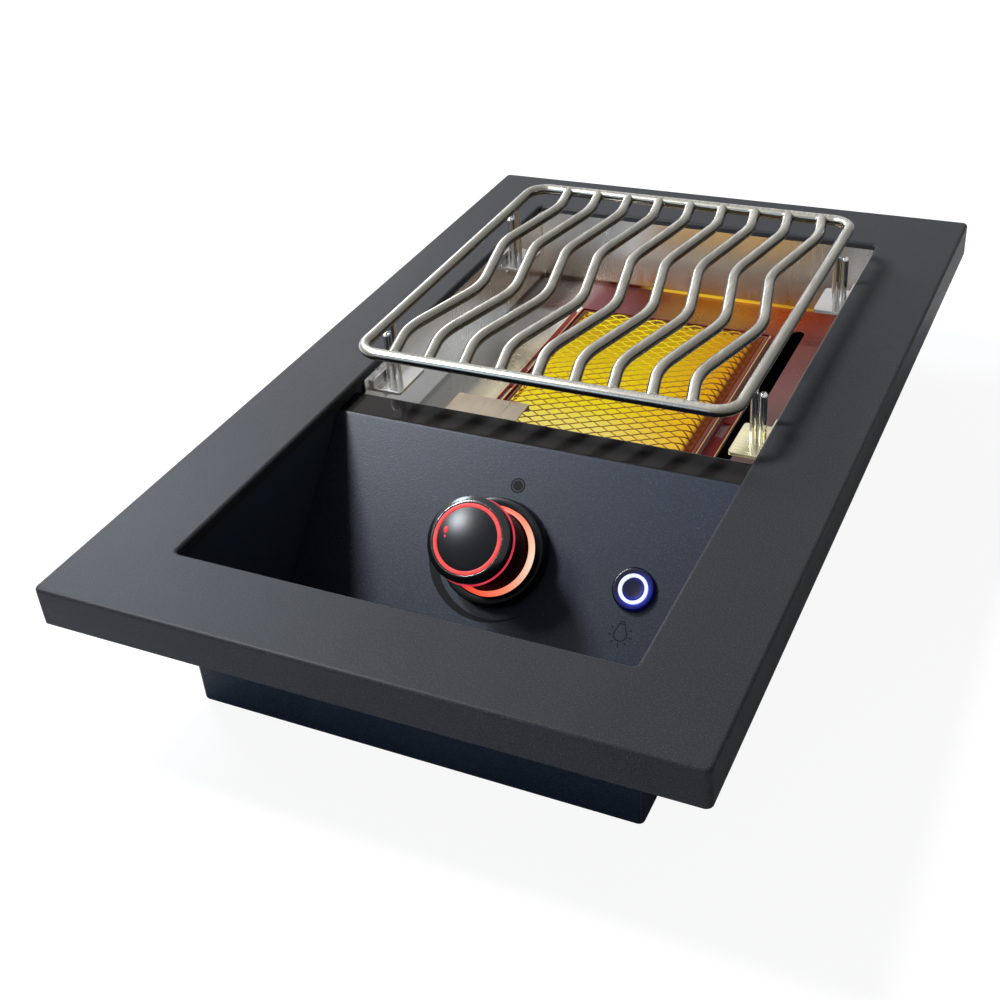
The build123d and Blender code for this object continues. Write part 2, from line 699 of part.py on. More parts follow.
# Gas valve: turned body behind the panel with an outlet and an inlet boss
recess_low = washer_top + washer_thick + push_travel + 1.0
with BuildPart() as gas_valve:
    with BuildSketch(knob_side):
        with BuildLine():
            Polyline(
                (0, -panel_sheet),
                (valve_radius, -panel_sheet),
                (valve_radius, -valve_shoulder),
                (valve_neck, -valve_shoulder - 2),
                (valve_neck, -valve_length + 2),
                (valve_neck - 2, -valve_length),
                (0, -valve_length),
                close=True,
            )
        make_face()
    revolve(axis=knob_axis)
    with BuildSketch(Plane((knob_x, valve_mid.Y, tube_z), x_dir=(1, 0, 0), z_dir=(0, 1, 0))):
        Circle(valve_boss)
    extrude(amount=outlet_reach)
    with BuildSketch(Plane((knob_x, valve_mid.Y, tube_z), x_dir=(0, 1, 0), z_dir=(1, 0, 0))):
        Circle(valve_boss)
    extrude(amount=inlet_reach)
    with BuildSketch(knob_base.offset(-panel_sheet)):
        Circle(washer_radius + washer_gap)
    extrude(amount=-recess_low + panel_sheet, mode=Mode.SUBTRACT)
    with BuildSketch(knob_base.offset(-recess_low)):
        Circle(stem_radius + stem_fit)
    extrude(amount=-(stem_tail + push_travel + 1.0 - recess_low), mode=Mode.SUBTRACT)
    with BuildSketch(knob_base.offset(-panel_sheet)):
        with GridLocations(valve_screw_spacing, 1, 2, 1):
            Circle(screw_radius + slip / 2)
    extrude(amount=-screw_depth, mode=Mode.SUBTRACT)

# Valve stem: rod with a flat that carries the knob
with BuildPart() as valve_stem:
    with BuildSketch(knob_base.offset(-stem_tail)):
        Circle(stem_radius)
    extrude(amount=stem_tail + stem_top)
    with BuildSketch(knob_base.offset(drum_bottom)):
        with Locations((0, stem_flat + stem_radius)):
            Rectangle(4 * stem_radius, 2 * stem_radius)
    extrude(amount=stem_top, mode=Mode.SUBTRACT)

# Stem washer: spring seat that goes in with the stem but doesn't turn
with BuildPart() as stem_washer:
    with BuildSketch(knob_base.offset(-washer_top)):
        Circle(washer_radius)
        Circle(stem_radius + washer_gap, mode=Mode.SUBTRACT)
    extrude(amount=-washer_thick)

# Two screws through the panel into the valve, under the knob
with BuildPart() as valve_screws:
    with Locations(knob_base):
        with GridLocations(valve_screw_spacing, 1, 2, 1):
            Cylinder(screw_head - 0.6, screw_head_height - 0.2, align=(Align.CENTER, Align.CENTER, Align.MIN))
            Cylinder(screw_radius, screw_depth, align=(Align.CENTER, Align.CENTER, Align.MAX))

# Gas tube: bent pipe from the valve to the inlet at the back
tube_end = box_back - box_sheet - fitting_hex
with BuildPart() as gas_tube:
    with BuildLine() as tube_line:
        FilletPolyline(
            (knob_x + inlet_reach, valve_mid.Y, tube_z),
            (tube_turn_x, valve_mid.Y, tube_z),
            (tube_turn_x, -tube_cross, tube_z),
            (tube_run_x, -tube_cross, tube_z),
            (tube_run_x, tube_end, tube_z),
            radius=tube_bend,
        )
    tube_section = Plane((knob_x + inlet_reach, valve_mid.Y, tube_z), x_dir=(0, 1, 0), z_dir=(1, 0, 0))
    with BuildSketch(tube_section):
        Circle(gas_tube_radius)
        Circle(gas_tube_radius - gas_tube_wall, mode=Mode.SUBTRACT)
    sweep(path=tube_line.line)

# Inlet fitting: hexagon inside the back wall with a threaded end outside
fitting_start = Plane((tube_run_x, tube_end, tube_z), x_dir=(1, 0, 0), z_dir=(0, 1, 0))
fitting_step = fitting_hex + box_sheet + nut_thick + nut_stand
with BuildPart() as inlet_fitting:
    with BuildSketch(fitting_start):
        RegularPolygon(fitting_flats / 2, 6, major_radius=False)
    extrude(amount=fitting_hex)
    with BuildSketch(fitting_start.offset(fitting_hex)):
        Circle(fitting_shank)
    extrude(amount=fitting_step - fitting_hex)
    with BuildSketch(fitting_start.offset(fitting_step)):
        Circle(fitting_thread)
    extrude(amount=fitting_end)
    chamfer(inlet_fitting.faces().sort_by(Axis.Y)[-1].edges(), 1.2)
    with BuildSketch(fitting_start):
        Circle(fitting_bore)
    extrude(amount=fitting_step + fitting_end, mode=Mode.SUBTRACT)

# Inlet nut: hexagon that clamps the fitting from outside
with BuildPart() as inlet_nut:
    with BuildSketch(fitting_start.offset(fitting_hex + box_sheet)):
        RegularPolygon(fitting_flats / 2, 6, major_radius=False)
        Circle(fitting_shank + ring_gap, mode=Mode.SUBTRACT)
    extrude(amount=nut_thick)

# Igniter box: folded hood over the burner's front left corner
hood_low = screen_z + 1.5
with BuildPart() as igniter_box:
    with Locations((hood_x, hood_y, floor_z)):
        Box(igniter_width, igniter_depth, igniter_height, align=(Align.CENTER, Align.CENTER, Align.MIN))
    with Locations((hood_x + igniter_sheet, hood_y, floor_z + igniter_sheet)):
        Box(
            igniter_width, igniter_depth - 2 * igniter_sheet, igniter_height - 2 * igniter_sheet,
            align=(Align.CENTER, Align.CENTER, Align.MIN), mode=Mode.SUBTRACT,
        )
    with Locations((hood_x + igniter_foot, hood_y, floor_z)):
        Box(
            igniter_width, 2 * igniter_depth, hood_low - floor_z,
            align=(Align.CENTER, Align.CENTER, Align.MIN), mode=Mode.SUBTRACT,
        )
    with BuildSketch(Plane.XY.offset(floor_z)):
        with Locations((electrode_x, hood_y)):
            Circle(insulator_radius + ring_gap)
    extrude(amount=igniter_sheet, mode=Mode.SUBTRACT)

# Electrode: ceramic sleeve through the bay floor and its bent spark rod
with BuildPart() as electrode_insulator:
    with Locations((electrode_x, hood_y, insulator_low)):
        Cylinder(insulator_radius, insulator_high - insulator_low, align=(Align.CENTER, Align.CENTER, Align.MIN))
    fillet(electrode_insulator.faces().sort_by(Axis.Z)[-1].edges(), 0.8)
with BuildPart() as electrode_wire:
    with BuildLine() as spark_line:
        FilletPolyline(
            (electrode_x, hood_y, insulator_high),
            (electrode_x, hood_y, electrode_z),
            (electrode_x + electrode_tip, hood_y, electrode_z),
            radius=2.5,
        )
    with BuildSketch(Plane((electrode_x, hood_y, insulator_high))):
        Circle(electrode_rod)
    sweep(path=spark_line.line)

# Ignition module on the floor behind the panel, and its lead to the electrode
with BuildPart() as ignition_module:
    with Locations((electrode_x, -module_back, box_sheet)):
        Box(module_width, module_depth, module_height, align=(Align.CENTER, Align.MAX, Align.MIN))
    fillet(ignition_module.edges().filter_by(Axis.Z), case_round)
    chamfer(ignition_module.faces().sort_by(Axis.Z)[-1].edges(), case_round / 2)
with BuildPart() as ignition_lead:
    with BuildLine() as lead_line:
        FilletPolyline(
            (electrode_x, hood_y, insulator_low),
            (electrode_x, hood_y, lead_z),
            (electrode_x, -module_back, lead_z),
            radius=lead_bend,
        )
    with BuildSketch(Plane((electrode_x, hood_y, insulator_low), z_dir=(0, 0, -1))):
        Circle(lead_radius)
    sweep(path=lead_line.line)

# Light driver on the floor behind the switch, and the switch's lead
with BuildPart() as light_driver:
    with Locations((switch_x, -driver_back, box_sheet)):
        Box(driver_width, driver_depth, driver_height, align=(Align.CENTER, Align.MAX, Align.MIN))
    fillet(light_driver.edges().filter_by(Axis.Z), case_round)
    chamfer(light_driver.faces().sort_by(Axis.Z)[-1].edges(), case_round / 2)
switch_end = on_panel(switch_x, switch_down, -switch_length - switch_tail_length)
lead_run = (-driver_back - driver_depth - switch_end.origin.Y) / sin(panel_slope)
with BuildPart() as switch_lead:
    with BuildSketch(switch_end):
        Circle(lead_radius)
    extrude(amount=-lead_run)
    with BuildSketch(Plane.XZ.offset(driver_back + driver_depth)):
        with Locations((switch_x, switch_end.origin.Z)):
            Rectangle(8 * lead_radius, 2 * box_depth)
    extrude(amount=-driver_depth, mode=Mode.SUBTRACT)

# Knob bezel: black collar fixed on the panel
with BuildPart() as knob_bezel:
    with BuildSketch(knob_side):
        with BuildLine():
            Polyline(
                (bezel_hole, 0),
                (bezel_foot, 0),
                (bezel_radius, bezel_height - 0.8),
                (bezel_radius - 0.8, bezel_height),
                (bezel_bore, bezel_height),
                (bezel_bore, bezel_floor),
                (bezel_hole, bezel_floor),
                close=True,
            )
        make_face()
    revolve(axis=knob_axis)

# Lamp board and light ring inside the bezel
with BuildPart() as lamp_board:
    with BuildSketch(knob_base.offset(bezel_floor)):
        Circle(bezel_bore - slip)
        Circle(board_inner, mode=Mode.SUBTRACT)
    extrude(amount=board_thick)
with BuildPart() as knob_light_ring:
    with BuildSketch(knob_side):
        with BuildLine():
            Polyline(
                (light_inner, bezel_floor + board_thick),
                (bezel_bore - slip, bezel_floor + board_thick),
                (bezel_bore - slip, light_height - 1.6),
                (light_inner + 0.6, light_height),
                (light_inner, light_height),
                close=True,
            )
        make_face()
    revolve(axis=knob_axis)

# Knob drum: hollow flared body with a hub on the stem
with BuildPart() as knob_drum:
    with BuildSketch(knob_side):
        with BuildLine():
            Polyline(
                (drum_waist - drum_wall, drum_bottom),
                (drum_waist, drum_bottom),
                (drum_waist, drum_flare_start),
            )
            ThreePointArc(
                (drum_waist, drum_flare_start),
                (drum_waist + (drum_flare - drum_waist) * 0.3, (drum_flare_start + drum_top) / 2),
                (drum_flare, drum_top),
            )
            Polyline(
                (drum_flare, drum_top),
                (drum_flare - rim_light_width, drum_top),
                (drum_flare - rim_light_width, drum_top + rim_light),
                (drum_neck, drum_top + rim_light),
                (drum_neck, cap_bottom),
                (0, cap_bottom),
                (0, stem_top + ring_gap),
                (stem_radius + ring_gap, stem_top + ring_gap),
                (stem_radius + ring_gap, drum_bottom),
                (hub_radius, drum_bottom),
                (hub_radius, drum_top - drum_wall),
                (drum_waist - drum_wall, drum_top - drum_wall),
                (drum_waist - drum_wall, drum_bottom),
            )
        make_face()
    revolve(axis=knob_axis)

# Thin lit ring on the drum's upper edge
with BuildPart() as knob_rim_light:
    with BuildSketch(knob_base.offset(drum_top)):
        Circle(drum_flare + ring_gap)
        Circle(drum_flare - rim_light_width + ring_gap, mode=Mode.SUBTRACT)
    extrude(amount=rim_light)

# Knob cap, top light and face, one inside the other
with BuildPart() as knob_cap:
    with BuildSketch(knob_side):
        with BuildLine():
            Polyline(
                (top_light_outer + ring_gap, cap_bottom),
                (cap_radius - 0.5, cap_bottom),
                (cap_radius, cap_bottom + 0.5),
                (cap_radius, cap_shoulder),
                (cap_lip, cap_top),
                (top_light_outer + ring_gap, cap_top),
                close=True,
            )
        make_face()
    revolve(axis=knob_axis)
with BuildPart() as knob_top_light:
    with BuildSketch(knob_base.offset(cap_bottom)):
        Circle(top_light_outer)
        Circle(top_light_inner, mode=Mode.SUBTRACT)
    extrude(amount=cap_top + ring_gap - cap_bottom)
with BuildPart() as knob_face:
    with BuildSketch(knob_side):
        with BuildLine():
            Polyline(
                (0, face_top),
                (0, cap_bottom),
                (top_light_inner - ring_gap, cap_bottom),
                (top_light_inner - ring_gap, face_edge),
            )
            TangentArc((0, face_top), (top_light_inner - ring_gap, face_edge), tangent=(1, 0))
        make_face()
    revolve(axis=knob_axis)

# Switch housing: flanged threaded barrel with a well for the ring and the button
with BuildPart() as switch_housing:
    with BuildSketch(switch_side):
        with BuildLine():
            Polyline(
                (0, -switch_length - switch_tail_length),
                (switch_tail, -switch_length - switch_tail_length),
                (switch_tail, -switch_length),
                (switch_thread, -switch_length),
                (switch_thread, 0),
                (switch_flange, 0),
                (switch_flange, switch_rise - 1.0),
                (switch_flange - 0.8, switch_rise),
                (switch_ring_outer + ring_gap, switch_rise),
                (switch_ring_outer + ring_gap, switch_rise - switch_ring_depth),
                (button_radius + button_wall, switch_rise - switch_ring_depth),
                (button_radius + button_wall, -button_depth - button_travel - 0.5),
                (0, -button_depth - button_travel - 0.5),
                close=True,
            )
        make_face()
    revolve(axis=switch_axis)
with BuildPart() as switch_ring_light:
    with BuildSketch(switch_base.offset(switch_rise - switch_ring_depth)):
        Circle(switch_ring_outer)
        Circle(switch_ring_inner, mode=Mode.SUBTRACT)
    extrude(amount=switch_ring_depth + ring_gap)
with BuildPart() as switch_button:
    with BuildSketch(switch_base.offset(-button_depth)):
        Circle(button_radius)
    extrude(amount=button_depth + button_rise)
    fillet(switch_button.faces().sort_by(switch_axis)[-1].edges(), 0.4)
with BuildPart() as switch_nut:
    with BuildSketch(switch_base.offset(-panel_sheet)):
        RegularPolygon(switch_nut_flats / 2, 6, major_radius=False)
        Circle(switch_thread + ring_gap, mode=Mode.SUBTRACT)
    extrude(amount=-switch_nut_thick)

# Every piece is labelled and written to its own file
pieces = {
    "top_trim": top_trim,
    "outer_box": outer_box,
    "control_panel": control_panel,
    "burner_liner": burner_liner,
    "liner_rivets": liner_rivets,
    "panel_screws": panel_screws,
    "grid_brackets": grid_brackets,
    "grid_pegs": grid_pegs,
    "grid_frame": grid_frame,
    "grid_bars": grid_bars,
    "grid_legs": grid_legs,
    "burner_body": burner_body,
    "burner_screws": burner_screws,
    "ceramic_tiles": ceramic_tiles,
    "tile_gasket": tile_gasket,
    "burner_screen": burner_screen,
    "venturi_tube": venturi_tube,
    "air_shutter": air_shutter,
    "orifice": orifice,
    "gas_valve": gas_valve,
    "valve_stem": valve_stem,
    "stem_washer": stem_washer,
    "valve_screws": valve_screws,
    "gas_tube": gas_tube,
    "inlet_fitting": inlet_fitting,
    "inlet_nut": inlet_nut,
    "igniter_box": igniter_box,
    "electrode_insulator": electrode_insulator,
    "electrode_wire": electrode_wire,
    "ignition_module": ignition_module,
    "ignition_lead": ignition_lead,
    "light_driver": light_driver,
    "switch_lead": switch_lead,
    "knob_bezel": knob_bezel,
    "lamp_board": lamp_board,
    "knob_light_ring": knob_light_ring,
    "knob_drum": knob_drum,
    "knob_rim_light": knob_rim_light,
    "knob_cap": knob_cap,
    "knob_top_light": knob_top_light,
    "knob_face": knob_face,
    "switch_housing": switch_housing,
    "switch_ring_light": switch_ring_light,
    "switch_button": switch_button,
    "switch_nut": switch_nut,
}
for name, piece in pieces.items():
    piece.part.label = name
    export_step(piece.part, f"parts/{name}.step")
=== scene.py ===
import math

import bpy
from mathutils import Matrix, Vector


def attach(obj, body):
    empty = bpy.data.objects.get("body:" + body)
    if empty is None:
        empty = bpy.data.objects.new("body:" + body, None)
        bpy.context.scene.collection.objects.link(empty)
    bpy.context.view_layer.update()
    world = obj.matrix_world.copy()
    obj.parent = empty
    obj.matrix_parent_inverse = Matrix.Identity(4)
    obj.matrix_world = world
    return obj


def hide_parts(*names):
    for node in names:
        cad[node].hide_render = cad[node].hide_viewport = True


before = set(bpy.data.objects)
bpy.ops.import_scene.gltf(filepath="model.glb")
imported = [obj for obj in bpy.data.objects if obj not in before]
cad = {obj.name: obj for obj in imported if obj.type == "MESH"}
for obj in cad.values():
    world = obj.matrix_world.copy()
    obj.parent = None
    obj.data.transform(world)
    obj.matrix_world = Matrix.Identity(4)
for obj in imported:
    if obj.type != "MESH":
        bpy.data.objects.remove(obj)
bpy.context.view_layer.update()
mm = 0.001
mergeGap = 0.000002  # points nearer than this become one
print("stage: frame loaded,", len(cad), "nodes")


# selection and mesh helpers

def clearSelection():
    if bpy.context.object and bpy.context.object.mode != "OBJECT":
        bpy.ops.object.mode_set(mode="OBJECT")
    bpy.ops.object.select_all(action="DESELECT")


def pick(piece):
    clearSelection()
    piece.select_set(True)
    bpy.context.view_layer.objects.active = piece
    return piece


def addObject(name, data):
    holder = bpy.data.objects.new(name, data)
    bpy.context.collection.objects.link(holder)
    return holder


def settle(piece):  # place and turn go into the mesh, the object stays at the origin
    pick(piece)
    bpy.ops.object.transform_apply(location=True, rotation=True, scale=True)
    return piece


def onAll(step, **values):  # an edit-mode step on the whole mesh
    bpy.ops.mesh.select_all(action="SELECT")
    step(**values)


def applyModifier(piece, kind, **values):
    pick(piece)
    mod = piece.modifiers.new(kind.lower(), kind)
    for key, value in values.items():
        setattr(mod, key, value)
    bpy.ops.object.modifier_apply(modifier=mod.name)
    return piece


def softenEdges(piece, width, segments=3, angle=40):
    return applyModifier(piece, "BEVEL", width=width * mm, segments=segments, limit_method="ANGLE",
                         angle_limit=math.radians(angle), miter_outer="MITER_ARC")


def smooth(piece, angle=35):
    pick(piece)
    bpy.ops.object.shade_smooth_by_angle(angle=math.radians(angle))
    return piece


def joinedCopy(node, name):  # a CAD node's triangles, joined so that they can be bevelled and smoothed
    piece = pick(addObject(name, cad[node].data.copy()))
    bpy.ops.mesh.customdata_custom_splitnormals_clear()
    bpy.ops.object.mode_set(mode="EDIT")
    onAll(bpy.ops.mesh.remove_doubles, threshold=mergeGap)
    bpy.ops.mesh.dissolve_limited(angle_limit=math.radians(0.4))
    bpy.ops.object.mode_set(mode="OBJECT")
    return piece


def joinInto(first, others):
    clearSelection()
    for other in others:
        other.select_set(True)
    first.select_set(True)
    bpy.context.view_layer.objects.active = first
    bpy.ops.object.join()
    return first


def lineCurve(name, paths, closed, dimensions="3D"):  # straight lines through points in millimetres
    data = bpy.data.curves.new(name, "CURVE")
    data.dimensions = dimensions
    for path in paths:
        line = data.splines.new("POLY")
        line.points.add(len(path) - 1)
        for point, place in zip(line.points, path):
            point.co = (*(Vector(place) * mm), 1.0)
        line.use_cyclic_u = closed
    return data


def curveToMesh(name, data):
    pick(addObject(name, data))
    bpy.ops.object.convert(target="MESH")
    return bpy.context.object


def bead(place, radii):  # a small rounded lump, in millimetres
    clearSelection()
    bpy.ops.mesh.primitive_uv_sphere_add(segments=24, ring_count=12, radius=mm)
    piece = bpy.context.object
    piece.scale = radii
    piece.location = Vector(place) * mm
    return settle(piece)


def carry(piece, body, finish, slotName, *standsFor):
    piece.data.materials.clear()
    piece.data.materials.append(finish)
    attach(piece, body)
    if standsFor:
        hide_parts(*standsFor)
    return piece


# shader helpers: masks run from 0 to 1, places are in millimetres

alongX, alongY, alongZ = (1.0, 0.0, 0.0), (0.0, 1.0, 0.0), (0.0, 0.0, 1.0)
black, white = (0.0, 0.0, 0.0), (1.0, 1.0, 1.0)
grainDepth, brushDepth = 0.0003, 0.0002  # how far the bump reaches, in metres


def wire(tree, node, inputs):  # sockets are linked, plain values are set
    for key, value in inputs.items():
        if isinstance(value, bpy.types.NodeSocket):
            tree.links.new(value, node.inputs[key])
        else:
            node.inputs[key].default_value = value


def addNode(tree, kind, inputs, **settings):
    node = tree.nodes.new(kind)
    for key, value in settings.items():
        setattr(node, key, value)
    wire(tree, node, inputs)
    return node


def objectPlace(tree):
    return tree.nodes.new("ShaderNodeTexCoord").outputs["Object"]


def cameraRay(tree):
    return tree.nodes.new("ShaderNodeLightPath").outputs["Is Camera Ray"]


def combine(tree, operation, first, second):
    return addNode(tree, "ShaderNodeMath", {0: first, 1: second}, operation=operation).outputs[0]


def times(tree, first, second):
    return combine(tree, "MULTIPLY", first, second)


def vectors(tree, operation, first, second):
    return addNode(tree, "ShaderNodeVectorMath", {0: first, 1: second}, operation=operation).outputs


def ramp(tree, source, stops):
    node = addNode(tree, "ShaderNodeValToRGB", {"Fac": source})
    band = node.color_ramp
    while len(band.elements) < len(stops):
        band.elements.new(0.5)
    for element, (at, colour) in zip(band.elements, stops):
        element.position = at
        element.color = (*colour, 1.0)
    return node.outputs["Color"]


def mottled(tree, source, dark, light):
    return ramp(tree, source, [(0.3, dark), (0.7, light)])


def spread(tree, source, low, high, start=0.3, end=0.7):  # a mask mapped to a range of values
    node = addNode(tree, "ShaderNodeMapRange", {
        "Value": source, "From Min": start, "From Max": end, "To Min": low, "To Max": high})
    return node.outputs["Result"]


def axisPlace(tree, direction, start, end):  # along a direction in the frame
    along = vectors(tree, "DOT_PRODUCT", objectPlace(tree), direction)["Value"]
    return spread(tree, along, 0.0, 1.0, start * mm, end * mm)


def outward(tree, start, end, axis="X"):  # away from the middle plane on both sides
    parts = addNode(tree, "ShaderNodeSeparateXYZ", {0: objectPlace(tree)})
    size = addNode(tree, "ShaderNodeMath", {0: parts.outputs[axis]}, operation="ABSOLUTE")
    return spread(tree, size.outputs[0], 0.0, 1.0, start * mm, end * mm)


def away(tree, centre, start, end):  # with the distance from a point
    far = vectors(tree, "DISTANCE", objectPlace(tree), tuple(v * mm for v in centre))["Value"]
    return spread(tree, far, 0.0, 1.0, start * mm, end * mm)


def blend(tree, mask, first, second):  # two colours by a mask, each a socket or a written colour
    node = addNode(tree, "ShaderNodeMix", {"Factor": mask}, data_type="RGBA")
    for key, value in (("A", first), ("B", second)):
        wire(tree, node, {key: (*value, 1.0) if isinstance(value, tuple) else value})
    return node.outputs["Result"]


def bump(tree, height, strength, distance):
    node = addNode(tree, "ShaderNodeBump", {"Height": height, "Strength": strength, "Distance": distance})
    return node.outputs["Normal"]


def shine(tree, shader, colour, cast, castStrength):
    # the colour that the eye sees of a light, and what it throws on its neighbours
    sight = cameraRay(tree)
    wire(tree, shader, {"Emission Strength": spread(tree, sight, castStrength, 1.0, 0.0, 1.0),
                        "Emission Color": blend(tree, sight, cast, colour)})


# shared groups

def newGroup(name, given, kind, puts):
    group = bpy.data.node_groups.new(name, "ShaderNodeTree")
    group.interface.new_socket(name=given, in_out="INPUT", socket_type=kind)
    for label in puts:
        group.interface.new_socket(name=label, in_out="OUTPUT", socket_type="NodeSocketFloat")
    return group, group.nodes.new("NodeGroupInput").outputs[given], group.nodes.new("NodeGroupOutput")


def makeGrainGroup():  # fine orange-peel grain of a powder coat and slow clouds of colour
    group, scale, out = newGroup("coatGrain", "Scale", "NodeSocketFloat", ("Grain", "Cloud"))
    place = objectPlace(group)
    fine = addNode(group, "ShaderNodeTexNoise", {"Vector": place, "Scale": scale, "Detail": 2.0})
    cloud = addNode(group, "ShaderNodeTexNoise", {"Vector": place, "Scale": 9.0, "Detail": 4.0})
    wire(group, out, {"Grain": fine.outputs["Fac"], "Cloud": cloud.outputs["Fac"]})
    return group


def makeBrushGroup():  # long fine streaks along one axis, and soft smears
    group, stretch, out = newGroup("brushMarks", "Stretch", "NodeSocketVector", ("Streak", "Smear"))
    place = objectPlace(group)
    drawn = vectors(group, "MULTIPLY", place, stretch)["Vector"]
    streak = addNode(group, "ShaderNodeTexNoise", {
        "Vector": drawn, "Scale": 1.0, "Detail": 6.0, "Roughness": 0.7})
    smear = addNode(group, "ShaderNodeTexNoise", {"Vector": place, "Scale": 22.0, "Detail": 3.0})
    wire(group, out, {"Streak": streak.outputs["Fac"], "Smear": smear.outputs["Fac"]})
    return group


grainGroup = makeGrainGroup()
brushGroup = makeBrushGroup()


def grained(tree, scale):
    return addNode(tree, "ShaderNodeGroup", {"Scale": scale}, node_tree=grainGroup).outputs["Grain"]


def clouded(tree):
    return addNode(tree, "ShaderNodeGroup", {}, node_tree=grainGroup).outputs["Cloud"]


def brushed(tree, stretch):
    node = addNode(tree, "ShaderNodeGroup", {"Stretch": stretch}, node_tree=brushGroup)
    return node.outputs["Streak"], node.outputs["Smear"]


# kinds of finish

coatGrain = {"scale": 1500.0, "specks": (0.52, 0.72), "speckGain": 1.7, "roughBand": 0.06}
lightGrain = 200.0
lightBody = {"Base Color": (0.02, 0.02, 0.02, 1.0), "Roughness": 0.35, "Specular IOR Level": 0.06}


def newFinish(name):
    finish = bpy.data.materials.new(name)
    finish.use_nodes = True
    tree = finish.node_tree
    return finish, tree, tree.nodes["Principled BSDF"]


def partsOf(finish):  # a finish's tree, its shader and what feeds its colour
    tree = finish.node_tree
    shader = tree.nodes["Principled BSDF"]
    return tree, shader, shader.inputs["Base Color"].links[0].from_socket


def metal(tree, shader, colour, streak, rough, strength):
    wire(tree, shader, {"Base Color": colour, "Roughness": spread(tree, streak, *rough),
                        "Normal": bump(tree, streak, strength, brushDepth), "Metallic": 1.0})


def coated(name, dark, light, rough, strength, specular):
    v = coatGrain
    finish, tree, shader = newFinish(name)
    grain, cloud = grained(tree, v["scale"]), clouded(tree)
    specks = spread(tree, grain, 0.0, 1.0, *v["specks"])  # single brighter grains in the powder
    bright = tuple(c * v["speckGain"] for c in light)
    wire(tree, shader, {
        "Base Color": blend(tree, specks, mottled(tree, cloud, dark, light), bright),
        "Roughness": spread(tree, grain, rough - v["roughBand"], rough + v["roughBand"]),
        "Normal": bump(tree, grain, strength, grainDepth), "Specular IOR Level": specular})
    return finish


def steel(name, dark, light, rough, stretch, strength=0.05):
    finish, tree, shader = newFinish(name)
    streak, smear = brushed(tree, stretch)
    metal(tree, shader, mottled(tree, smear, dark, light), streak, rough, strength)
    return finish


def glossy(name, dark, light, rough, specular=0.5):
    finish, tree, shader = newFinish(name)
    cloud = clouded(tree)
    wire(tree, shader, {"Base Color": mottled(tree, cloud, dark, light),
                        "Roughness": spread(tree, cloud, rough * 0.8, rough * 1.2),
                        "Specular IOR Level": specular})
    return finish


def lit(name, dark, light, cast, castStrength):
    finish, tree, shader = newFinish(name)
    shine(tree, shader, mottled(tree, grained(tree, lightGrain), dark, light), cast, castStrength)
    wire(tree, shader, lightBody)
    return finish


# liner: bright steel; walls lighter to the left as painted reflection, painted reflections of the burner's
# glow on the floor round the burner, heat tint mixed with painted glow low on the back wall

liner = {
    "brush": (75.0, 75.0, 6.0), "rough": (0.21, 0.29), "bump": 0.004,
    "sides": (-112.0, 112.0), "middle": (-20.0, 20.0), "floorTop": (42.0, 40.6), "smear": (0.50, 0.50, 0.50),
    # across: painted reflection, the walls lighter at the left and darker at the right
    "across": [(0.0, (0.90, 0.89, 0.87)), (0.06, (0.74, 0.74, 0.75)), (0.30, (0.72, 0.71, 0.71)),
               (0.55, (0.76, 0.72, 0.68)), (0.95, (0.66, 0.61, 0.55)), (1.0, (0.46, 0.44, 0.42))],
    "heatGlowTop": (66.0, 43.0), "heatGlowSide": (-78.0, -40.0), "backWall": (200.0, 206.0), "wallRise": (39.0, 78.0),
    # heat tint mixed with painted reflections of the burner's glow, in streaks low on the back wall
    "wallHeatGlow": [(0.0, (0.60, 0.28, 0.016)), (0.22, (0.44, 0.15, 0.02)), (0.5, (0.34, 0.18, 0.10)),
                 (1.0, (0.48, 0.36, 0.28))],
    "behindRun": (157.0, 164.0), "sootRun": (186.0, 162.0), "soot": (0.10, 0.012, 0.006),
    # behind: painted reflection of the burner's glow on the floor behind it
    "behind": [(0.0, (0.16, 0.155, 0.15)), (0.14, (0.26, 0.20, 0.17)), (0.22, (0.12, 0.018, 0.020)),
               (0.36, (0.11, 0.012, 0.008)), (0.46, (0.28, 0.12, 0.004)), (0.66, (0.44, 0.20, 0.007)),
               (0.77, (0.42, 0.08, 0.008)), (0.87, (0.31, 0.05, 0.035)), (0.98, (0.25, 0.12, 0.11))],
    "rightRun": (-40.0, 195.0),
    # right: painted reflection of the burner's glow, redder towards the back
    "right": [(0.0, (0.17, 0.11, 0.10)), (0.45, (0.16, 0.085, 0.08)), (0.8, (0.22, 0.065, 0.055)),
              (1.0, (0.30, 0.06, 0.04))],
    "leftRun": (-104.0, -72.0), "leftBackRun": (105.0, 145.0), "leftBack": (0.36, 0.355, 0.35),
    # left: painted reflection of warm light, cream on the floor strip left of the burner
    "left": [(0.0, (0.31, 0.31, 0.30)), (0.34, (0.33, 0.325, 0.30)), (0.48, (0.60, 0.55, 0.43)),
             (0.85, (0.84, 0.75, 0.54)), (1.0, (0.70, 0.60, 0.44))],
    # mirror: the floor colour that reflections see, a painted reflection in the walls
    "mirrorRun": (150.0, 165.0), "mirror": ((0.56, 0.57, 0.58), (0.29, 0.225, 0.175)),
    # fold: painted glow, the burner's light drawn as emission in the back fold
    "foldRise": (41.4, 40.6), "foldBack": (206.6, 207.2), "foldLeft": (-42.0, -26.0),
    "foldRight": (104.0, 30.0), "foldGlow": (0.86, 0.55, 0.04, 1.0),
}


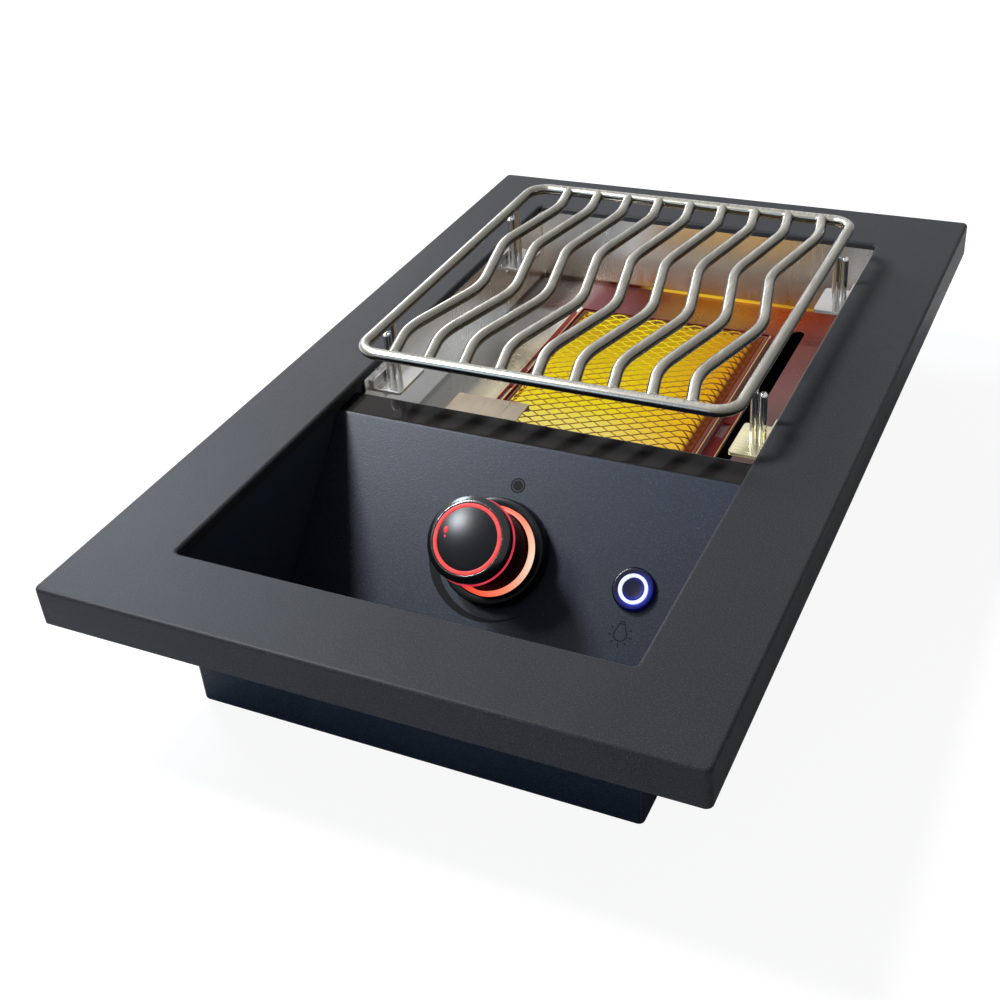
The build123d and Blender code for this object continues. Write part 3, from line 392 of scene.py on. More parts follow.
def makeLinerSteel(v):
    finish, tree, shader = newFinish("linerSteel")
    streak, smear = brushed(tree, v["brush"])
    across = axisPlace(tree, alongX, *v["sides"])
    # steel tone with painted reflection: lighter to the left, darker to the right
    grey = blend(tree, spread(tree, smear, 0.0, 0.35), ramp(tree, across, v["across"]), v["smear"])
    # heat tint and painted glow reflection, in streaks low on the back wall
    heatAndGlow = times(tree, axisPlace(tree, alongZ, *v["heatGlowTop"]), spread(tree, streak, 0.35, 1.2))
    heatAndGlow = times(tree, heatAndGlow, axisPlace(tree, alongX, *v["heatGlowSide"]))
    heatAndGlow = times(tree, heatAndGlow, axisPlace(tree, alongY, *v["backWall"]))
    walls = blend(tree, heatAndGlow, grey, ramp(tree, axisPlace(tree, alongZ, *v["wallRise"]), v["wallHeatGlow"]))
    soot = times(tree, axisPlace(tree, alongY, *v["sootRun"]), spread(tree, streak, 0.3, 1.0))
    # the floor behind the burner: painted glow reflection, with soot streaks over it
    behind = blend(tree, soot, ramp(tree, across, v["behind"]), v["soot"])
    # painted glow reflection on the floor strip right of the burner
    right = ramp(tree, axisPlace(tree, alongY, *v["rightRun"]), v["right"])
    # painted reflection of warm light on the floor strip left of the burner
    left = ramp(tree, axisPlace(tree, alongX, *v["leftRun"]), v["left"])
    left = blend(tree, axisPlace(tree, alongY, *v["leftBackRun"]), left, v["leftBack"])
    floor = blend(tree, axisPlace(tree, alongX, *v["middle"]), left, right)
    floor = blend(tree, axisPlace(tree, alongY, *v["behindRun"]), floor, behind)
    mirror = blend(tree, axisPlace(tree, alongY, *v["mirrorRun"]), *v["mirror"])
    floor = blend(tree, cameraRay(tree), mirror, floor)  # painted reflection: glossy rays see a paler floor than the eye
    colour = blend(tree, axisPlace(tree, alongZ, *v["floorTop"]), walls, floor)
    metal(tree, shader, colour, streak, v["rough"], v["bump"])
    fold = times(tree, axisPlace(tree, alongZ, *v["foldRise"]), axisPlace(tree, alongY, *v["foldBack"]))
    reach = times(tree, axisPlace(tree, alongX, *v["foldLeft"]), axisPlace(tree, alongX, *v["foldRight"]))
    glow = times(tree, fold, reach)  # painted glow: the burner's light in the back fold, drawn as emission
    wire(tree, shader, {"Emission Strength": glow, "Emission Color": v["foldGlow"]})
    return finish


# burner tray: dark red with heat, painted highlights along the folded edges

burner = {
    "brush": (400.0, 20.0, 400.0), "rough": (0.26, 0.42), "bump": 0.05,
    "dark": (0.13, 0.005, 0.006), "light": (0.20, 0.012, 0.010), "edge": (0.90, 0.58, 0.22),
    "mirror": (0.42, 0.39, 0.35), "edgeRun": (60.0, 75.0), "edgeRise": (39.4, 40.2),
    "edgeBands": [(0.0, black), (0.20, black), (0.215, white), (0.245, white),
                  (0.26, black), (0.735, black), (0.75, white), (1.0, white)],
    "rimRise": (44.6, 44.2), "rimRun": (66.0, 65.0),
}


def makeBurnerSteel(v):
    finish, tree, shader = newFinish("burnerSteel")
    streak, smear = brushed(tree, v["brush"])
    plain = mottled(tree, smear, v["dark"], v["light"])
    # painted highlights: bright bands along the folded edges
    edges = ramp(tree, outward(tree, *v["edgeRun"]), v["edgeBands"])
    edges = times(tree, edges, axisPlace(tree, alongZ, *v["edgeRise"]))
    wall = times(tree, axisPlace(tree, alongZ, *v["rimRise"]), outward(tree, *v["rimRun"]))
    colour = blend(tree, edges, plain, v["edge"])
    colour = blend(tree, wall, colour, plain)  # the rim's upright side stays dark
    colour = blend(tree, cameraRay(tree), v["mirror"], colour)  # painted reflection: glossy rays see a paler tray
    metal(tree, shader, colour, streak, v["rough"], v["bump"])
    return finish


# switch plating: dark metal with a painted blue glow from its ring, most on the right

plating = {
    "brush": (300.0, 300.0, 300.0), "rough": (0.16, 0.24), "specular": 0.22,
    "dark": (0.002, 0.002, 0.006), "light": (0.004, 0.004, 0.012),
    "middle": (71.5, -106.2, 41.0), "reach": 12.0,  # middle of the switch's front
    "glow": [(0.0, (0.0, 0.001, 0.02)), (0.30, (0.0, 0.003, 0.06)), (0.48, (0.0, 0.016, 0.50)),
             (0.64, (0.0, 0.020, 0.62)), (0.76, (0.0, 0.004, 0.16)), (0.88, (0.0, 0.0, 0.03)),
             (1.0, (0.0, 0.0, 0.006))],
    "side": (0.83, -0.39, -0.39), "sideRun": (79.0, 92.0), "sideGlow": (0.06, 1.0),
}


def makeBlackChrome(v):
    finish, tree, shader = newFinish("blackChrome")
    streak, smear = brushed(tree, v["brush"])
    side = axisPlace(tree, v["side"], *v["sideRun"])
    wire(tree, shader, {
        "Base Color": mottled(tree, smear, v["dark"], v["light"]),
        "Roughness": spread(tree, streak, *v["rough"]),
        # painted glow: blue emission for the ring's light, strongest near the ring and on the right
        "Emission Color": ramp(tree, away(tree, v["middle"], 0.0, v["reach"]), v["glow"]),
        "Emission Strength": spread(tree, side, *v["sideGlow"], 0.0, 1.0),
        "Specular IOR Level": v["specular"]})
    return finish


# grid rods: drawn steel, painted highlight along the upper left and painted shade below

rodFinish = {
    "brush": (500.0, 40.0, 500.0), "rough": (0.16, 0.28), "bump": 0.05, "bright": (-0.42, -0.12, 0.90),
    "paintedShine": [(0.0, (0.08, 0.075, 0.065)), (0.40, (0.15, 0.142, 0.122)), (0.68, (0.32, 0.308, 0.270)),
               (0.82, (0.45, 0.433, 0.390)), (0.90, (0.60, 0.585, 0.535)), (1.0, (0.70, 0.685, 0.64))],
    "smear": (0.21, 0.20, 0.17), "marks": (0.13, 0.125, 0.105), "marksBand": (0.42, 0.66),
}


def makeRodSteel(v):
    finish, tree, shader = newFinish("rodSteel")
    streak, smear = brushed(tree, v["brush"])
    normal = tree.nodes.new("ShaderNodeTexCoord").outputs["Normal"]
    # painted highlight and shade by surface direction: brightest facing upper left, dark below
    paintedShine = ramp(tree, vectors(tree, "DOT_PRODUCT", normal, v["bright"])["Value"], v["paintedShine"])
    shineAndWear = blend(tree, spread(tree, smear, 0.0, 0.35), paintedShine, v["smear"])
    shineAndWear = blend(tree, spread(tree, streak, 0.0, 0.6, *v["marksBand"]), shineAndWear, v["marks"])  # drawing marks
    metal(tree, shader, shineAndWear, streak, v["rough"], v["bump"])
    return finish


# finishes that change over one piece

paintedBracketGlow = {"side": (60.0, 70.0), "front": (10.0, -10.0), "colour": (0.93, 0.86, 0.57)}
paintedWellFill = {"side": (115.5, 115.1), "front": (-212.6, -212.2), "colour": (0.036, 0.046, 0.066)}
# colour: painted shade, the land darker than the slope
panelLand = {"rise": (81.6, 81.9), "colour": (0.014, 0.0125, 0.012), "rough": (0.36, 0.10),
             "bump": (0.25, 0.02)}


def makeBracketSteel(v):  # bright steel, the front right bracket painted yellow as the burner's glow on it
    finish = steel("bracketSteel", (0.46, 0.45, 0.44), (0.58, 0.57, 0.55), (0.14, 0.28), (40.0, 500.0, 500.0))
    tree, shader, plain = partsOf(finish)
    # painted glow: the front right bracket tinted yellow by position
    warm = times(tree, axisPlace(tree, alongX, *v["side"]), axisPlace(tree, alongY, *v["front"]))
    wire(tree, shader, {"Base Color": blend(tree, warm, plain, v["colour"])})
    return finish


def makeBoxCoat(v):  # blue-black coat, painted lighter inside the well as fill light
    finish = coated("boxCoat", (0.013, 0.018, 0.028), (0.018, 0.024, 0.036), 0.45, 0.20, 0.08)
    tree, shader, outside = partsOf(finish)
    # painted light: the well's inside faces lighter, standing in for fill light
    inside = times(tree, outward(tree, *v["side"]), axisPlace(tree, alongY, *v["front"]))
    wire(tree, shader, {"Base Color": blend(tree, inside, outside, v["colour"])})
    return finish


def makePanelCoat(v):  # blue-black coat on the slope, glossier on the flat land behind it and darker there as painted shade
    finish = coated("panelCoat", (0.027, 0.033, 0.048), (0.033, 0.040, 0.057), 0.36, 0.25, 0.07)
    tree, shader, slope = partsOf(finish)
    land = axisPlace(tree, alongZ, *v["rise"])
    grain = shader.inputs["Normal"].links[0].from_node
    wire(tree, grain, {"Strength": spread(tree, land, *v["bump"], 0.0, 1.0)})
    # painted shade: the land's colour darker than the slope
    wire(tree, shader, {"Base Color": blend(tree, land, slope, v["colour"]),
                        "Roughness": spread(tree, land, *v["rough"], 0.0, 1.0)})
    return finish


# lamp ring of the knob: palest at the right and red towards the left

ring = {
    "run": (-27.5, 20.5), "cast": (0.9, 0.04, 0.02), "castStrength": 0.07, "body": (0.05, 0.02, 0.02, 1.0),
    "glow": [(0.05, (0.55, 0.012, 0.010)), (0.30, (0.86, 0.04, 0.02)), (0.55, (1.0, 0.14, 0.07)),
             (0.80, (1.0, 0.27, 0.16)), (0.93, (1.0, 0.52, 0.36)), (1.0, (1.0, 0.80, 0.62))],
}


def makeRingLight(v):
    finish, tree, shader = newFinish("ringLight")
    colour = ramp(tree, axisPlace(tree, alongX, *v["run"]), v["glow"])
    shine(tree, shader, colour, v["cast"], v["castStrength"])
    wire(tree, shader, {"Base Color": v["body"]})
    return finish


# ceramic tiles: pale at the front, strong yellow behind, orange to the right

burnerCast = (0.58, 0.49, 0.36)  # the light that the hot burner throws on its neighbours
tile = {
    "run": (-20.0, 155.0), "sides": (-60.0, 60.0), "warmBand": (0.50, 0.92), "castStrength": 0.40,
    "middle": [(0.0, (0.80, 0.71, 0.25)), (0.22, (0.78, 0.67, 0.15)), (0.36, (0.75, 0.62, 0.012)),
               (0.55, (0.72, 0.56, 0.001)), (0.80, (0.50, 0.33, 0.001)), (1.0, (0.38, 0.22, 0.001))],
    "edge": [(0.0, (0.80, 0.56, 0.09)), (0.3, (0.74, 0.42, 0.010)), (0.6, (0.66, 0.32, 0.002)),
             (1.0, (0.50, 0.20, 0.002))],
    "poreScale": 620.0, "poreDepth": (0.70, 1.0), "poreBand": (0.05, 0.32), "pore": (0.50, 0.26, 0.004),
    # rim: painted shade along the tile's right rim
    "rimRun": (52.5, 55.5), "rim": (0.10, 0.012, 0.004),
    "body": {"Base Color": (0.06, 0.035, 0.010, 1.0), "Roughness": 0.9, "Specular IOR Level": 0.05},
}


def makeTileGlow(v):
    finish, tree, shader = newFinish("tileGlow")
    back = axisPlace(tree, alongY, *v["run"])
    warm = spread(tree, axisPlace(tree, alongX, *v["sides"]), 0.0, 1.0, *v["warmBand"])
    pores = addNode(tree, "ShaderNodeTexVoronoi", {"Vector": objectPlace(tree), "Scale": v["poreScale"]})
    spots = spread(tree, pores.outputs["Distance"], *v["poreDepth"], *v["poreBand"])
    colour = blend(tree, warm, ramp(tree, back, v["middle"]), ramp(tree, back, v["edge"]))
    colour = blend(tree, spots, v["pore"], colour)
    colour = blend(tree, axisPlace(tree, alongX, *v["rimRun"]), colour, v["rim"])  # painted shade: darker along the rim, where the screen's rolled edge lies in shadow
    shine(tree, shader, colour, burnerCast, v["castStrength"])
    wire(tree, shader, v["body"])
    return finish


# screen strands: painted glow, the tile's light drawn as emission: dull at the front edge, lit yellow behind,
# orange and brown to the right

strandFinish = {
    "brush": (300.0, 300.0, 300.0), "rough": (0.30, 0.50), "castStrength": 0.2,
    "dark": (0.10, 0.050, 0.006), "light": (0.20, 0.105, 0.012), "run": (10.0, 152.0),
    "glow": [(0.0, (0.06, 0.035, 0.003)), (0.20, (0.16, 0.085, 0.003)), (0.38, (0.36, 0.20, 0.003)),
             (0.60, (0.72, 0.58, 0.001)), (0.85, (0.84, 0.76, 0.002)), (1.0, (0.84, 0.78, 0.03))],
    "rim": [(0.0, (0.05, 0.016, 0.003)), (0.35, (0.14, 0.035, 0.003)), (0.7, (0.40, 0.16, 0.003)),
            (1.0, (0.46, 0.20, 0.004))],
    # under: painted shade along the strands' lower edges
    "rimRun": (10.0, 50.0), "underRise": (49.9, 49.1), "under": (0.13, 0.045, 0.002),
    # end: painted shade at the strands' right ends
    "endRun": (48.0, 55.0), "end": (0.07, 0.012, 0.002),
    "scaleBand": (0.45, 0.7), "scale": (0.10, 0.035, 0.002),
}


def makeStrandSteel(v):
    finish, tree, shader = newFinish("strandSteel")
    streak, smear = brushed(tree, v["brush"])
    back = axisPlace(tree, alongY, *v["run"])
    rim = ramp(tree, back, v["rim"])
    # painted glow: the tile's light on the strands, drawn as emission
    glow = blend(tree, axisPlace(tree, alongX, *v["rimRun"]), ramp(tree, back, v["glow"]), rim)
    glow = blend(tree, axisPlace(tree, alongZ, *v["underRise"]), glow, v["under"])  # painted shade: dark under edges
    # painted shade: darker at the strands' right ends
    glow = blend(tree, axisPlace(tree, alongX, *v["endRun"]), glow, v["end"])
    glow = blend(tree, spread(tree, smear, 0.0, 0.5, *v["scaleBand"]), glow, v["scale"])  # patches of scale
    shine(tree, shader, glow, burnerCast, v["castStrength"])
    wire(tree, shader, {"Base Color": mottled(tree, smear, v["dark"], v["light"]),
                        "Roughness": spread(tree, streak, *v["rough"]), "Metallic": 1.0})
    return finish


trimCoat = coated("trimCoat", (0.025, 0.026, 0.030), (0.030, 0.031, 0.035), 0.42, 0.30, 0.05)
boxCoat = makeBoxCoat(paintedWellFill)
panelCoat = makePanelCoat(panelLand)
linerSteel = makeLinerSteel(liner)
burnerSteel = makeBurnerSteel(burner)
rodSteel = makeRodSteel(rodFinish)
bracketSteel = makeBracketSteel(paintedBracketGlow)
blackChrome = makeBlackChrome(plating)
igniterSteel = steel("igniterSteel", (0.38, 0.30, 0.225), (0.52, 0.43, 0.33), (0.25, 0.42),
                     (300.0, 30.0, 300.0))
pegSteel = steel("pegSteel", (0.46, 0.46, 0.45), (0.60, 0.59, 0.58), (0.10, 0.20), (500.0, 500.0, 20.0), 0.01)
plainSteel = steel("plainSteel", (0.33, 0.33, 0.34), (0.44, 0.44, 0.45), (0.25, 0.45), (300.0, 300.0, 60.0))
brassFinish = steel("brassFinish", (0.48, 0.32, 0.11), (0.62, 0.43, 0.16), (0.22, 0.40), (300.0, 60.0, 300.0))
alloyFinish = steel("alloyFinish", (0.36, 0.37, 0.38), (0.46, 0.47, 0.48), (0.35, 0.55),
                    (200.0, 200.0, 200.0))
gasketFibre = glossy("gasketFibre", (0.10, 0.020, 0.010), (0.18, 0.045, 0.018), 0.9)
porcelain = glossy("porcelain", (0.75, 0.73, 0.68), (0.86, 0.84, 0.80), 0.2)
gloss = glossy("knobGloss", (0.003, 0.0035, 0.005), (0.005, 0.006, 0.008), 0.22, 0.10)
faceGloss = glossy("faceGloss", (0.004, 0.005, 0.007), (0.007, 0.008, 0.011), 0.275, 0.12)
satinBlack = glossy("knobSatin", (0.006, 0.007, 0.008), (0.010, 0.011, 0.012), 0.22, 0.4)
casePlastic = glossy("casePlastic", (0.02, 0.02, 0.022), (0.035, 0.035, 0.037), 0.5, 0.4)
leadSheath = glossy("leadSheath", (0.20, 0.03, 0.02), (0.28, 0.05, 0.03), 0.5, 0.4)
boardGreen = glossy("boardGreen", (0.02, 0.10, 0.05), (0.04, 0.16, 0.08), 0.4, 0.4)
markPaint = glossy("markPaint", (0.007, 0.008, 0.009), (0.011, 0.012, 0.014), 0.45, 0.03)
faintPaint = glossy("faintPaint", (0.009, 0.010, 0.013), (0.014, 0.016, 0.020), 0.45, 0.03)
redLight = lit("redLight", (0.86, 0.055, 0.055), (0.95, 0.090, 0.085), (0.9, 0.02, 0.02), 0.2)
pointerLight = lit("pointerLight", (0.78, 0.016, 0.024), (0.88, 0.030, 0.036), (0.9, 0.02, 0.02), 0.2)
pinkLight = lit("pinkLight", (0.62, 0.030, 0.060), (0.74, 0.060, 0.100), (0.9, 0.02, 0.03), 0.3)
blueLight = lit("blueLight", (0.88, 0.93, 1.0), (0.96, 0.98, 1.0), (0.0, 0.05, 1.0), 5.0)
ringLight = makeRingLight(ring)
tileGlow = makeTileGlow(tile)
strandSteel = makeStrandSteel(strandFinish)
print("stage: finishes made")


# camera at the photograph's angle

camera = {"place": (0.27158, -0.61162, 0.46598), "azimuth": 27.979, "elevation": 34.148, "roll": -4.974,
          "lens": 50.883, "sensor": 36.0, "clip": (0.01, 50.0)}


def addCamera(v):
    a, e, r = (math.radians(v[k]) for k in ("azimuth", "elevation", "roll"))
    back = Vector((math.sin(a) * math.cos(e), -math.cos(a) * math.cos(e), math.sin(e)))
    right = (-back).cross(Vector((0, 0, 1))).normalized()
    up = right.cross(-back).normalized()
    across = right * math.cos(r) + up * math.sin(r)
    upward = up * math.cos(r) - right * math.sin(r)
    turn = Matrix((across, upward, back)).transposed().to_4x4()
    data = bpy.data.cameras.new("camera")
    data.sensor_width = v["sensor"]
    data.lens = v["lens"]
    data.clip_start, data.clip_end = v["clip"]
    holder = addObject("camera", data)
    holder.matrix_world = Matrix.Translation(Vector(v["place"])) @ turn
    bpy.context.scene.camera = holder


# studio: pale floor, soft lamps, white surround

studio = {
    "ambient": 0.12, "ambientColour": (0.93, 0.96, 1.0, 1.0), "pureWhite": (1.0, 1.0, 1.0, 1.0),
    "floorSize": 14.0, "floorDrop": 0.0005, "paper": 0.90, "paperCloud": 0.02, "aim": (0.0, 0.0, 0.06),
    "glow": 1.12, "glowPart": 0.82, "underX": (104.0, 108.0), "underY": (194.0, 198.0),
    "lamps": [
        {"name": "keyLamp", "at": (-0.70, -0.10, 1.07), "size": 0.22, "power": 22.0,
         "colour": (1.0, 0.985, 0.96)},
        {"name": "sheenLamp", "at": (-1.06, 0.59, 0.93), "size": 0.4, "power": 14.0,
         "colour": (0.74, 0.87, 1.0)},
        {"name": "backLamp", "at": (-0.98, 1.15, 0.43), "size": 0.3, "power": 1.7,
         "colour": (1.0, 0.98, 0.94)},
        {"name": "frontLamp", "at": (-0.8, -2.0, 0.50), "size": 0.8, "power": 9.0,
         "colour": (0.45, 0.68, 1.0)},
        {"name": "glintLamp", "at": (-0.69, -0.51, 0.97), "size": 0.24, "power": 30.0,
         "colour": (0.88, 0.93, 1.0), "glintOnly": True},
    ],
}


def addWorld(v):  # white to the eye and in reflections, dim as a light
    world = bpy.data.worlds.new("surround")
    bpy.context.scene.world = world
    world.use_nodes = True
    tree = world.node_tree
    tree.nodes.clear()
    path = tree.nodes.new("ShaderNodeLightPath").outputs
    seen = combine(tree, "MAXIMUM", path["Is Camera Ray"], path["Is Glossy Ray"])
    seen = combine(tree, "MAXIMUM", seen, path["Is Transmission Ray"])
    soft = addNode(tree, "ShaderNodeBackground", {"Color": v["ambientColour"], "Strength": v["ambient"]})
    bright = addNode(tree, "ShaderNodeBackground", {"Color": v["pureWhite"], "Strength": 1.0})
    choose = addNode(tree, "ShaderNodeMixShader", {"Fac": seen, 1: soft.outputs[0], 2: bright.outputs[0]})
    addNode(tree, "ShaderNodeOutputWorld", {"Surface": choose.outputs[0]})


def addFloor(v):
    clearSelection()
    bpy.ops.mesh.primitive_plane_add(size=v["floorSize"], location=(0, 0, -v["floorDrop"]))
    floor = bpy.context.object
    floor.name = "floor"
    settle(floor)
    finish, tree, shader = newFinish("floorPaper")
    dark, light = (v["paper"],) * 3, (v["paper"] + v["paperCloud"],) * 3
    wire(tree, shader, {"Base Color": mottled(tree, clouded(tree), dark, light), "Roughness": 0.9,
                        "Specular IOR Level": 0.0})
    # a glow keeps the paper white to the eye, with a part of the shadow, and none shines up through the vents
    glow = addNode(tree, "ShaderNodeEmission", {"Color": v["pureWhite"], "Strength": v["glow"]})
    outside = combine(tree, "MAXIMUM", outward(tree, *v["underX"]), outward(tree, *v["underY"], "Y"))
    part = times(tree, times(tree, cameraRay(tree), v["glowPart"]), outside)
    paper = addNode(tree, "ShaderNodeMixShader", {"Fac": part, 1: shader.outputs[0], 2: glow.outputs[0]})
    wire(tree, tree.nodes["Material Output"], {"Surface": paper.outputs[0]})
    floor.data.materials.append(finish)


def addLamps(v):
    for lamp in v["lamps"]:
        data = bpy.data.lights.new(lamp["name"], "AREA")
        data.shape = "SQUARE"
        data.size = lamp["size"]
        data.energy = lamp["power"]
        data.color = lamp["colour"]
        holder = addObject(lamp["name"], data)
        holder.location = lamp["at"]
        ray = Vector(v["aim"]) - Vector(lamp["at"])
        holder.rotation_euler = ray.to_track_quat("-Z", "Y").to_euler()
        holder.visible_diffuse = not lamp.get("glintOnly", False)  # shows in gloss, fills no shadow


addCamera(camera)
addWorld(studio)
addFloor(studio)
addLamps(studio)
bpy.context.scene.view_settings.view_transform = "Standard"
print("stage: camera and studio")

# sheet-metal pieces, from the solids with softened edges

sheetPieces = [
    ("top_trim", "trimSheet", trimCoat, "black_coat", 0.0),
    ("outer_box", "boxSheet", boxCoat, "black_coat", 0.25),
    ("control_panel", "panelSheet", panelCoat, "panel_coat", 0.2),
    ("burner_liner", "linerSheet", linerSteel, "polished_steel", 0.15),
    ("grid_brackets", "bracketSheets", bracketSteel, "polished_steel", 0.35),
    ("burner_body", "burnerTray", burnerSteel, "burner_steel", 0.2),
    ("igniter_box", "igniterHood", igniterSteel, "polished_steel", 0.2),
]
for node, name, finish, slotName, width in sheetPieces:
    piece = joinedCopy(node, name)
    if width:
        softenEdges(piece, width, 2)
    smooth(piece, 32)
    # flat faces stay flat
    applyModifier(piece, "WEIGHTED_NORMAL", mode="FACE_AREA", weight=100, keep_sharp=True)
    carry(piece, "base", finish, slotName, node)
print("stage: sheet pieces")

# turned pieces of the knob and the switch: a profile of radius and height, spun about the panel's normal

panel = {"bendY": -61.5, "bendZ": 82.0, "slope": 45.0}


def onPanel(across, down, height=0.0):
    slope = math.radians(panel["slope"])
    s, c = math.sin(slope), math.cos(slope)
    y = panel["bendY"] - down * c - height * s
    z = panel["bendZ"] - down * s + height * c
    return Vector((across, y, z)) * mm


def layOnPanel(piece, across, down, height=0.0):
    piece.rotation_euler = (math.radians(panel["slope"]), 0, 0)
    piece.location = onPanel(across, down, height)
    return settle(piece)


def turned(name, profile, spot, edge, segments):
    clearSelection()
    bpy.ops.mesh.primitive_plane_add(size=mm)
    piece = bpy.context.object
    piece.name = name
    bpy.ops.object.mode_set(mode="EDIT")
    onAll(bpy.ops.mesh.merge, type="CENTER")  # one point, drawn out along the profile
    bpy.ops.transform.translate(value=(profile[0][0] * mm, 0, profile[0][1] * mm))
    for (r0, h0), (r1, h1) in zip(profile, profile[1:] + profile[:1]):
        move = ((r1 - r0) * mm, 0, (h1 - h0) * mm)
        bpy.ops.mesh.extrude_region_move(TRANSFORM_OT_translate={"value": move})
    onAll(bpy.ops.mesh.remove_doubles, threshold=mergeGap)
    onAll(bpy.ops.mesh.spin, steps=spot["steps"], angle=math.tau, center=(0, 0, 0), axis=(0, 0, 1))
    onAll(bpy.ops.mesh.remove_doubles, threshold=mergeGap)
    onAll(bpy.ops.mesh.normals_make_consistent, inside=False)
    bpy.ops.object.mode_set(mode="OBJECT")
    if edge:
        softenEdges(piece, edge, segments, 25)
    return smooth(layOnPanel(piece, spot["across"], spot["down"]), 50)


def addTurned(spot, pieces):
    for name, profile, edge, segments, body, finish, slotName, node in pieces:
        carry(turned(name, profile, spot, edge, segments), body, finish, slotName, node)


def arc(start, middle, end, count):  # points on a gentle curve through three places
    points = []
    for i in range(count + 1):
        t = i / count
        a, b, c = 2 * (t - 0.5) * (t - 1), -4 * t * (t - 1), 2 * t * (t - 0.5)
        points.append(tuple(a * p + b * q + c * r for p, q, r in zip(start, middle, end)))
    return points


knob = {
    "across": -3.5, "down": 57.9, "steps": 160,
    "bezel": [(16.5, 0.0), (28.4, 0.0), (27.6, 8.5), (23.4, 8.5), (23.4, 1.2), (16.5, 1.2)],
    "lightRing": [(20.9, 2.6), (23.2, 2.6), (23.2, 9.2), (21.5, 10.8), (20.9, 10.8)],
    "drumFoot": [(18.2, 6.6), (20.4, 6.6)],
    "drumWall": [(20.4, 15.0), (20.9, 24.0), (22.0, 33.0)],
    "drumTop": [(21.1, 33.0), (21.1, 33.8), (20.2, 33.8), (20.2, 37.0), (0.0, 37.0), (0.0, 25.1), (4.1, 25.1),
                (4.1, 6.6), (7.5, 6.6), (7.5, 30.8), (18.2, 30.8)],
    "rimLight": [(21.2, 33.0), (22.1, 33.0), (22.1, 33.7), (21.2, 33.7)],
    "cap": [(17.8, 37.0), (21.6, 37.0), (21.6, 39.2), (18.8, 41.0), (17.8, 41.0)],
    "topLight": [(15.8, 37.0), (17.7, 37.0), (17.7, 41.1), (15.8, 41.1)],
    "faceFoot": [(0.0, 37.0), (15.7, 37.0)],
    "faceDome": [(15.7, 40.7), (8.0, 42.1), (0.0, 42.6)],
}
drum = knob["drumFoot"] + arc(*knob["drumWall"], 10) + knob["drumTop"]
dome = knob["faceFoot"] + arc(*knob["faceDome"], 14)
addTurned(knob, [
    ("knobBezel", knob["bezel"], 0.7, 3, "base", gloss, "gloss_black", "knob_bezel"),
    ("knobLightRing", knob["lightRing"], 0.4, 3, "base", ringLight, "light_warm", "knob_light_ring"),
    ("knobDrum", drum, 0.15, 2, "knob", gloss, "gloss_black", "knob_drum"),
    ("knobRimLight", knob["rimLight"], 0.2, 3, "knob", pinkLight, "light_red", "knob_rim_light"),
    ("knobCap", knob["cap"], 0.5, 3, "knob", satinBlack, "gloss_black", "knob_cap"),
    ("knobTopLight", knob["topLight"], 0.25, 3, "knob", redLight, "light_red", "knob_top_light"),
    ("knobFace", dome, 0.0, 3, "knob", faceGloss, "gloss_black", "knob_face"),
])

switch = {
    "across": 71.5, "down": 60.6, "steps": 96,
    "housing": [(0.0, -28.0), (8.0, -28.0), (8.0, -22.0), (9.4, -22.0), (9.4, 0.0), (10.9, 0.0), (10.9, 1.6),
                (10.1, 2.6), (7.6, 2.6), (7.6, 1.0), (5.7, 1.0), (5.7, -6.0), (0.0, -6.0)],
    "ring": [(5.8, 1.0), (7.5, 1.0), (7.5, 2.7), (5.8, 2.7)],
    "button": [(0.0, -3.0), (5.5, -3.0), (5.5, 2.4), (5.0, 2.4), (0.0, 1.3)],
}
addTurned(switch, [
    ("switchHousing", switch["housing"], 0.3, 3, "base", blackChrome, "black_chrome", "switch_housing"),
    ("switchRing", switch["ring"], 0.3, 3, "base", blueLight, "light_blue", "switch_ring_light"),
    ("switchButton", switch["button"], 0.25, 3, "light_button", blackChrome, "black_chrome", "switch_button"),
])
print("stage: knob and switch")

# cooking grid: bent rods, welded at the bars' ends

grid = {"width": 208.0, "front": -52.0, "back": 181.0, "height": 114.7, "frameRod": 3.2, "corner": 12.0,
        "barRod": 3.2, "bars": 9, "pitch": 20.6, "frontShift": -0.3, "backShift": 3.1, "bend": 45.0,
        "waves": [(-86.0, -7.5), (-27.0, 9.0), (32.0, -4.6), (91.0, 7.5)], "barInset": 1.0,
        "bead": (4.2, 2.2, 3.1), "beadInset": 2.8}


def roundedPath(points, radius, closed=False, steps=14):  # straight runs joined by tangent arcs
    path = []
    count = len(points)
    for i, corner in enumerate(points):
        if not closed and i in (0, count - 1):
            path.append(Vector(corner))
            continue
        here = Vector(corner)
        before = (Vector(points[i - 1]) - here).normalized()
        after = (Vector(points[(i + 1) % count]) - here).normalized()
        half = before.angle(after) / 2
        reach = radius / math.tan(half)
        centre = here + (before + after).normalized() * (radius / math.sin(half))
        start = here + before * reach - centre
        end = here + after * reach - centre
        for k in range(steps + 1):
            path.append(centre + start.slerp(end, k / steps).normalized() * radius)
    return path


def rod(name, path, radius, closed=False, sides=10):
    data = lineCurve(name, [path], closed)
    data.bevel_depth = radius * mm
    data.bevel_resolution = sides
    data.use_fill_caps = not closed
    return smooth(curveToMesh(name, data), 60)


def makeGridFrame(v):
    x, z = v["width"] / 2, v["height"]
    corners = [(-x, v["front"], z), (x, v["front"], z), (x, v["back"], z), (-x, v["back"], z)]
    return rod("gridFrameRod", roundedPath(corners, v["corner"], True, 20), v["frameRod"], True, 12)


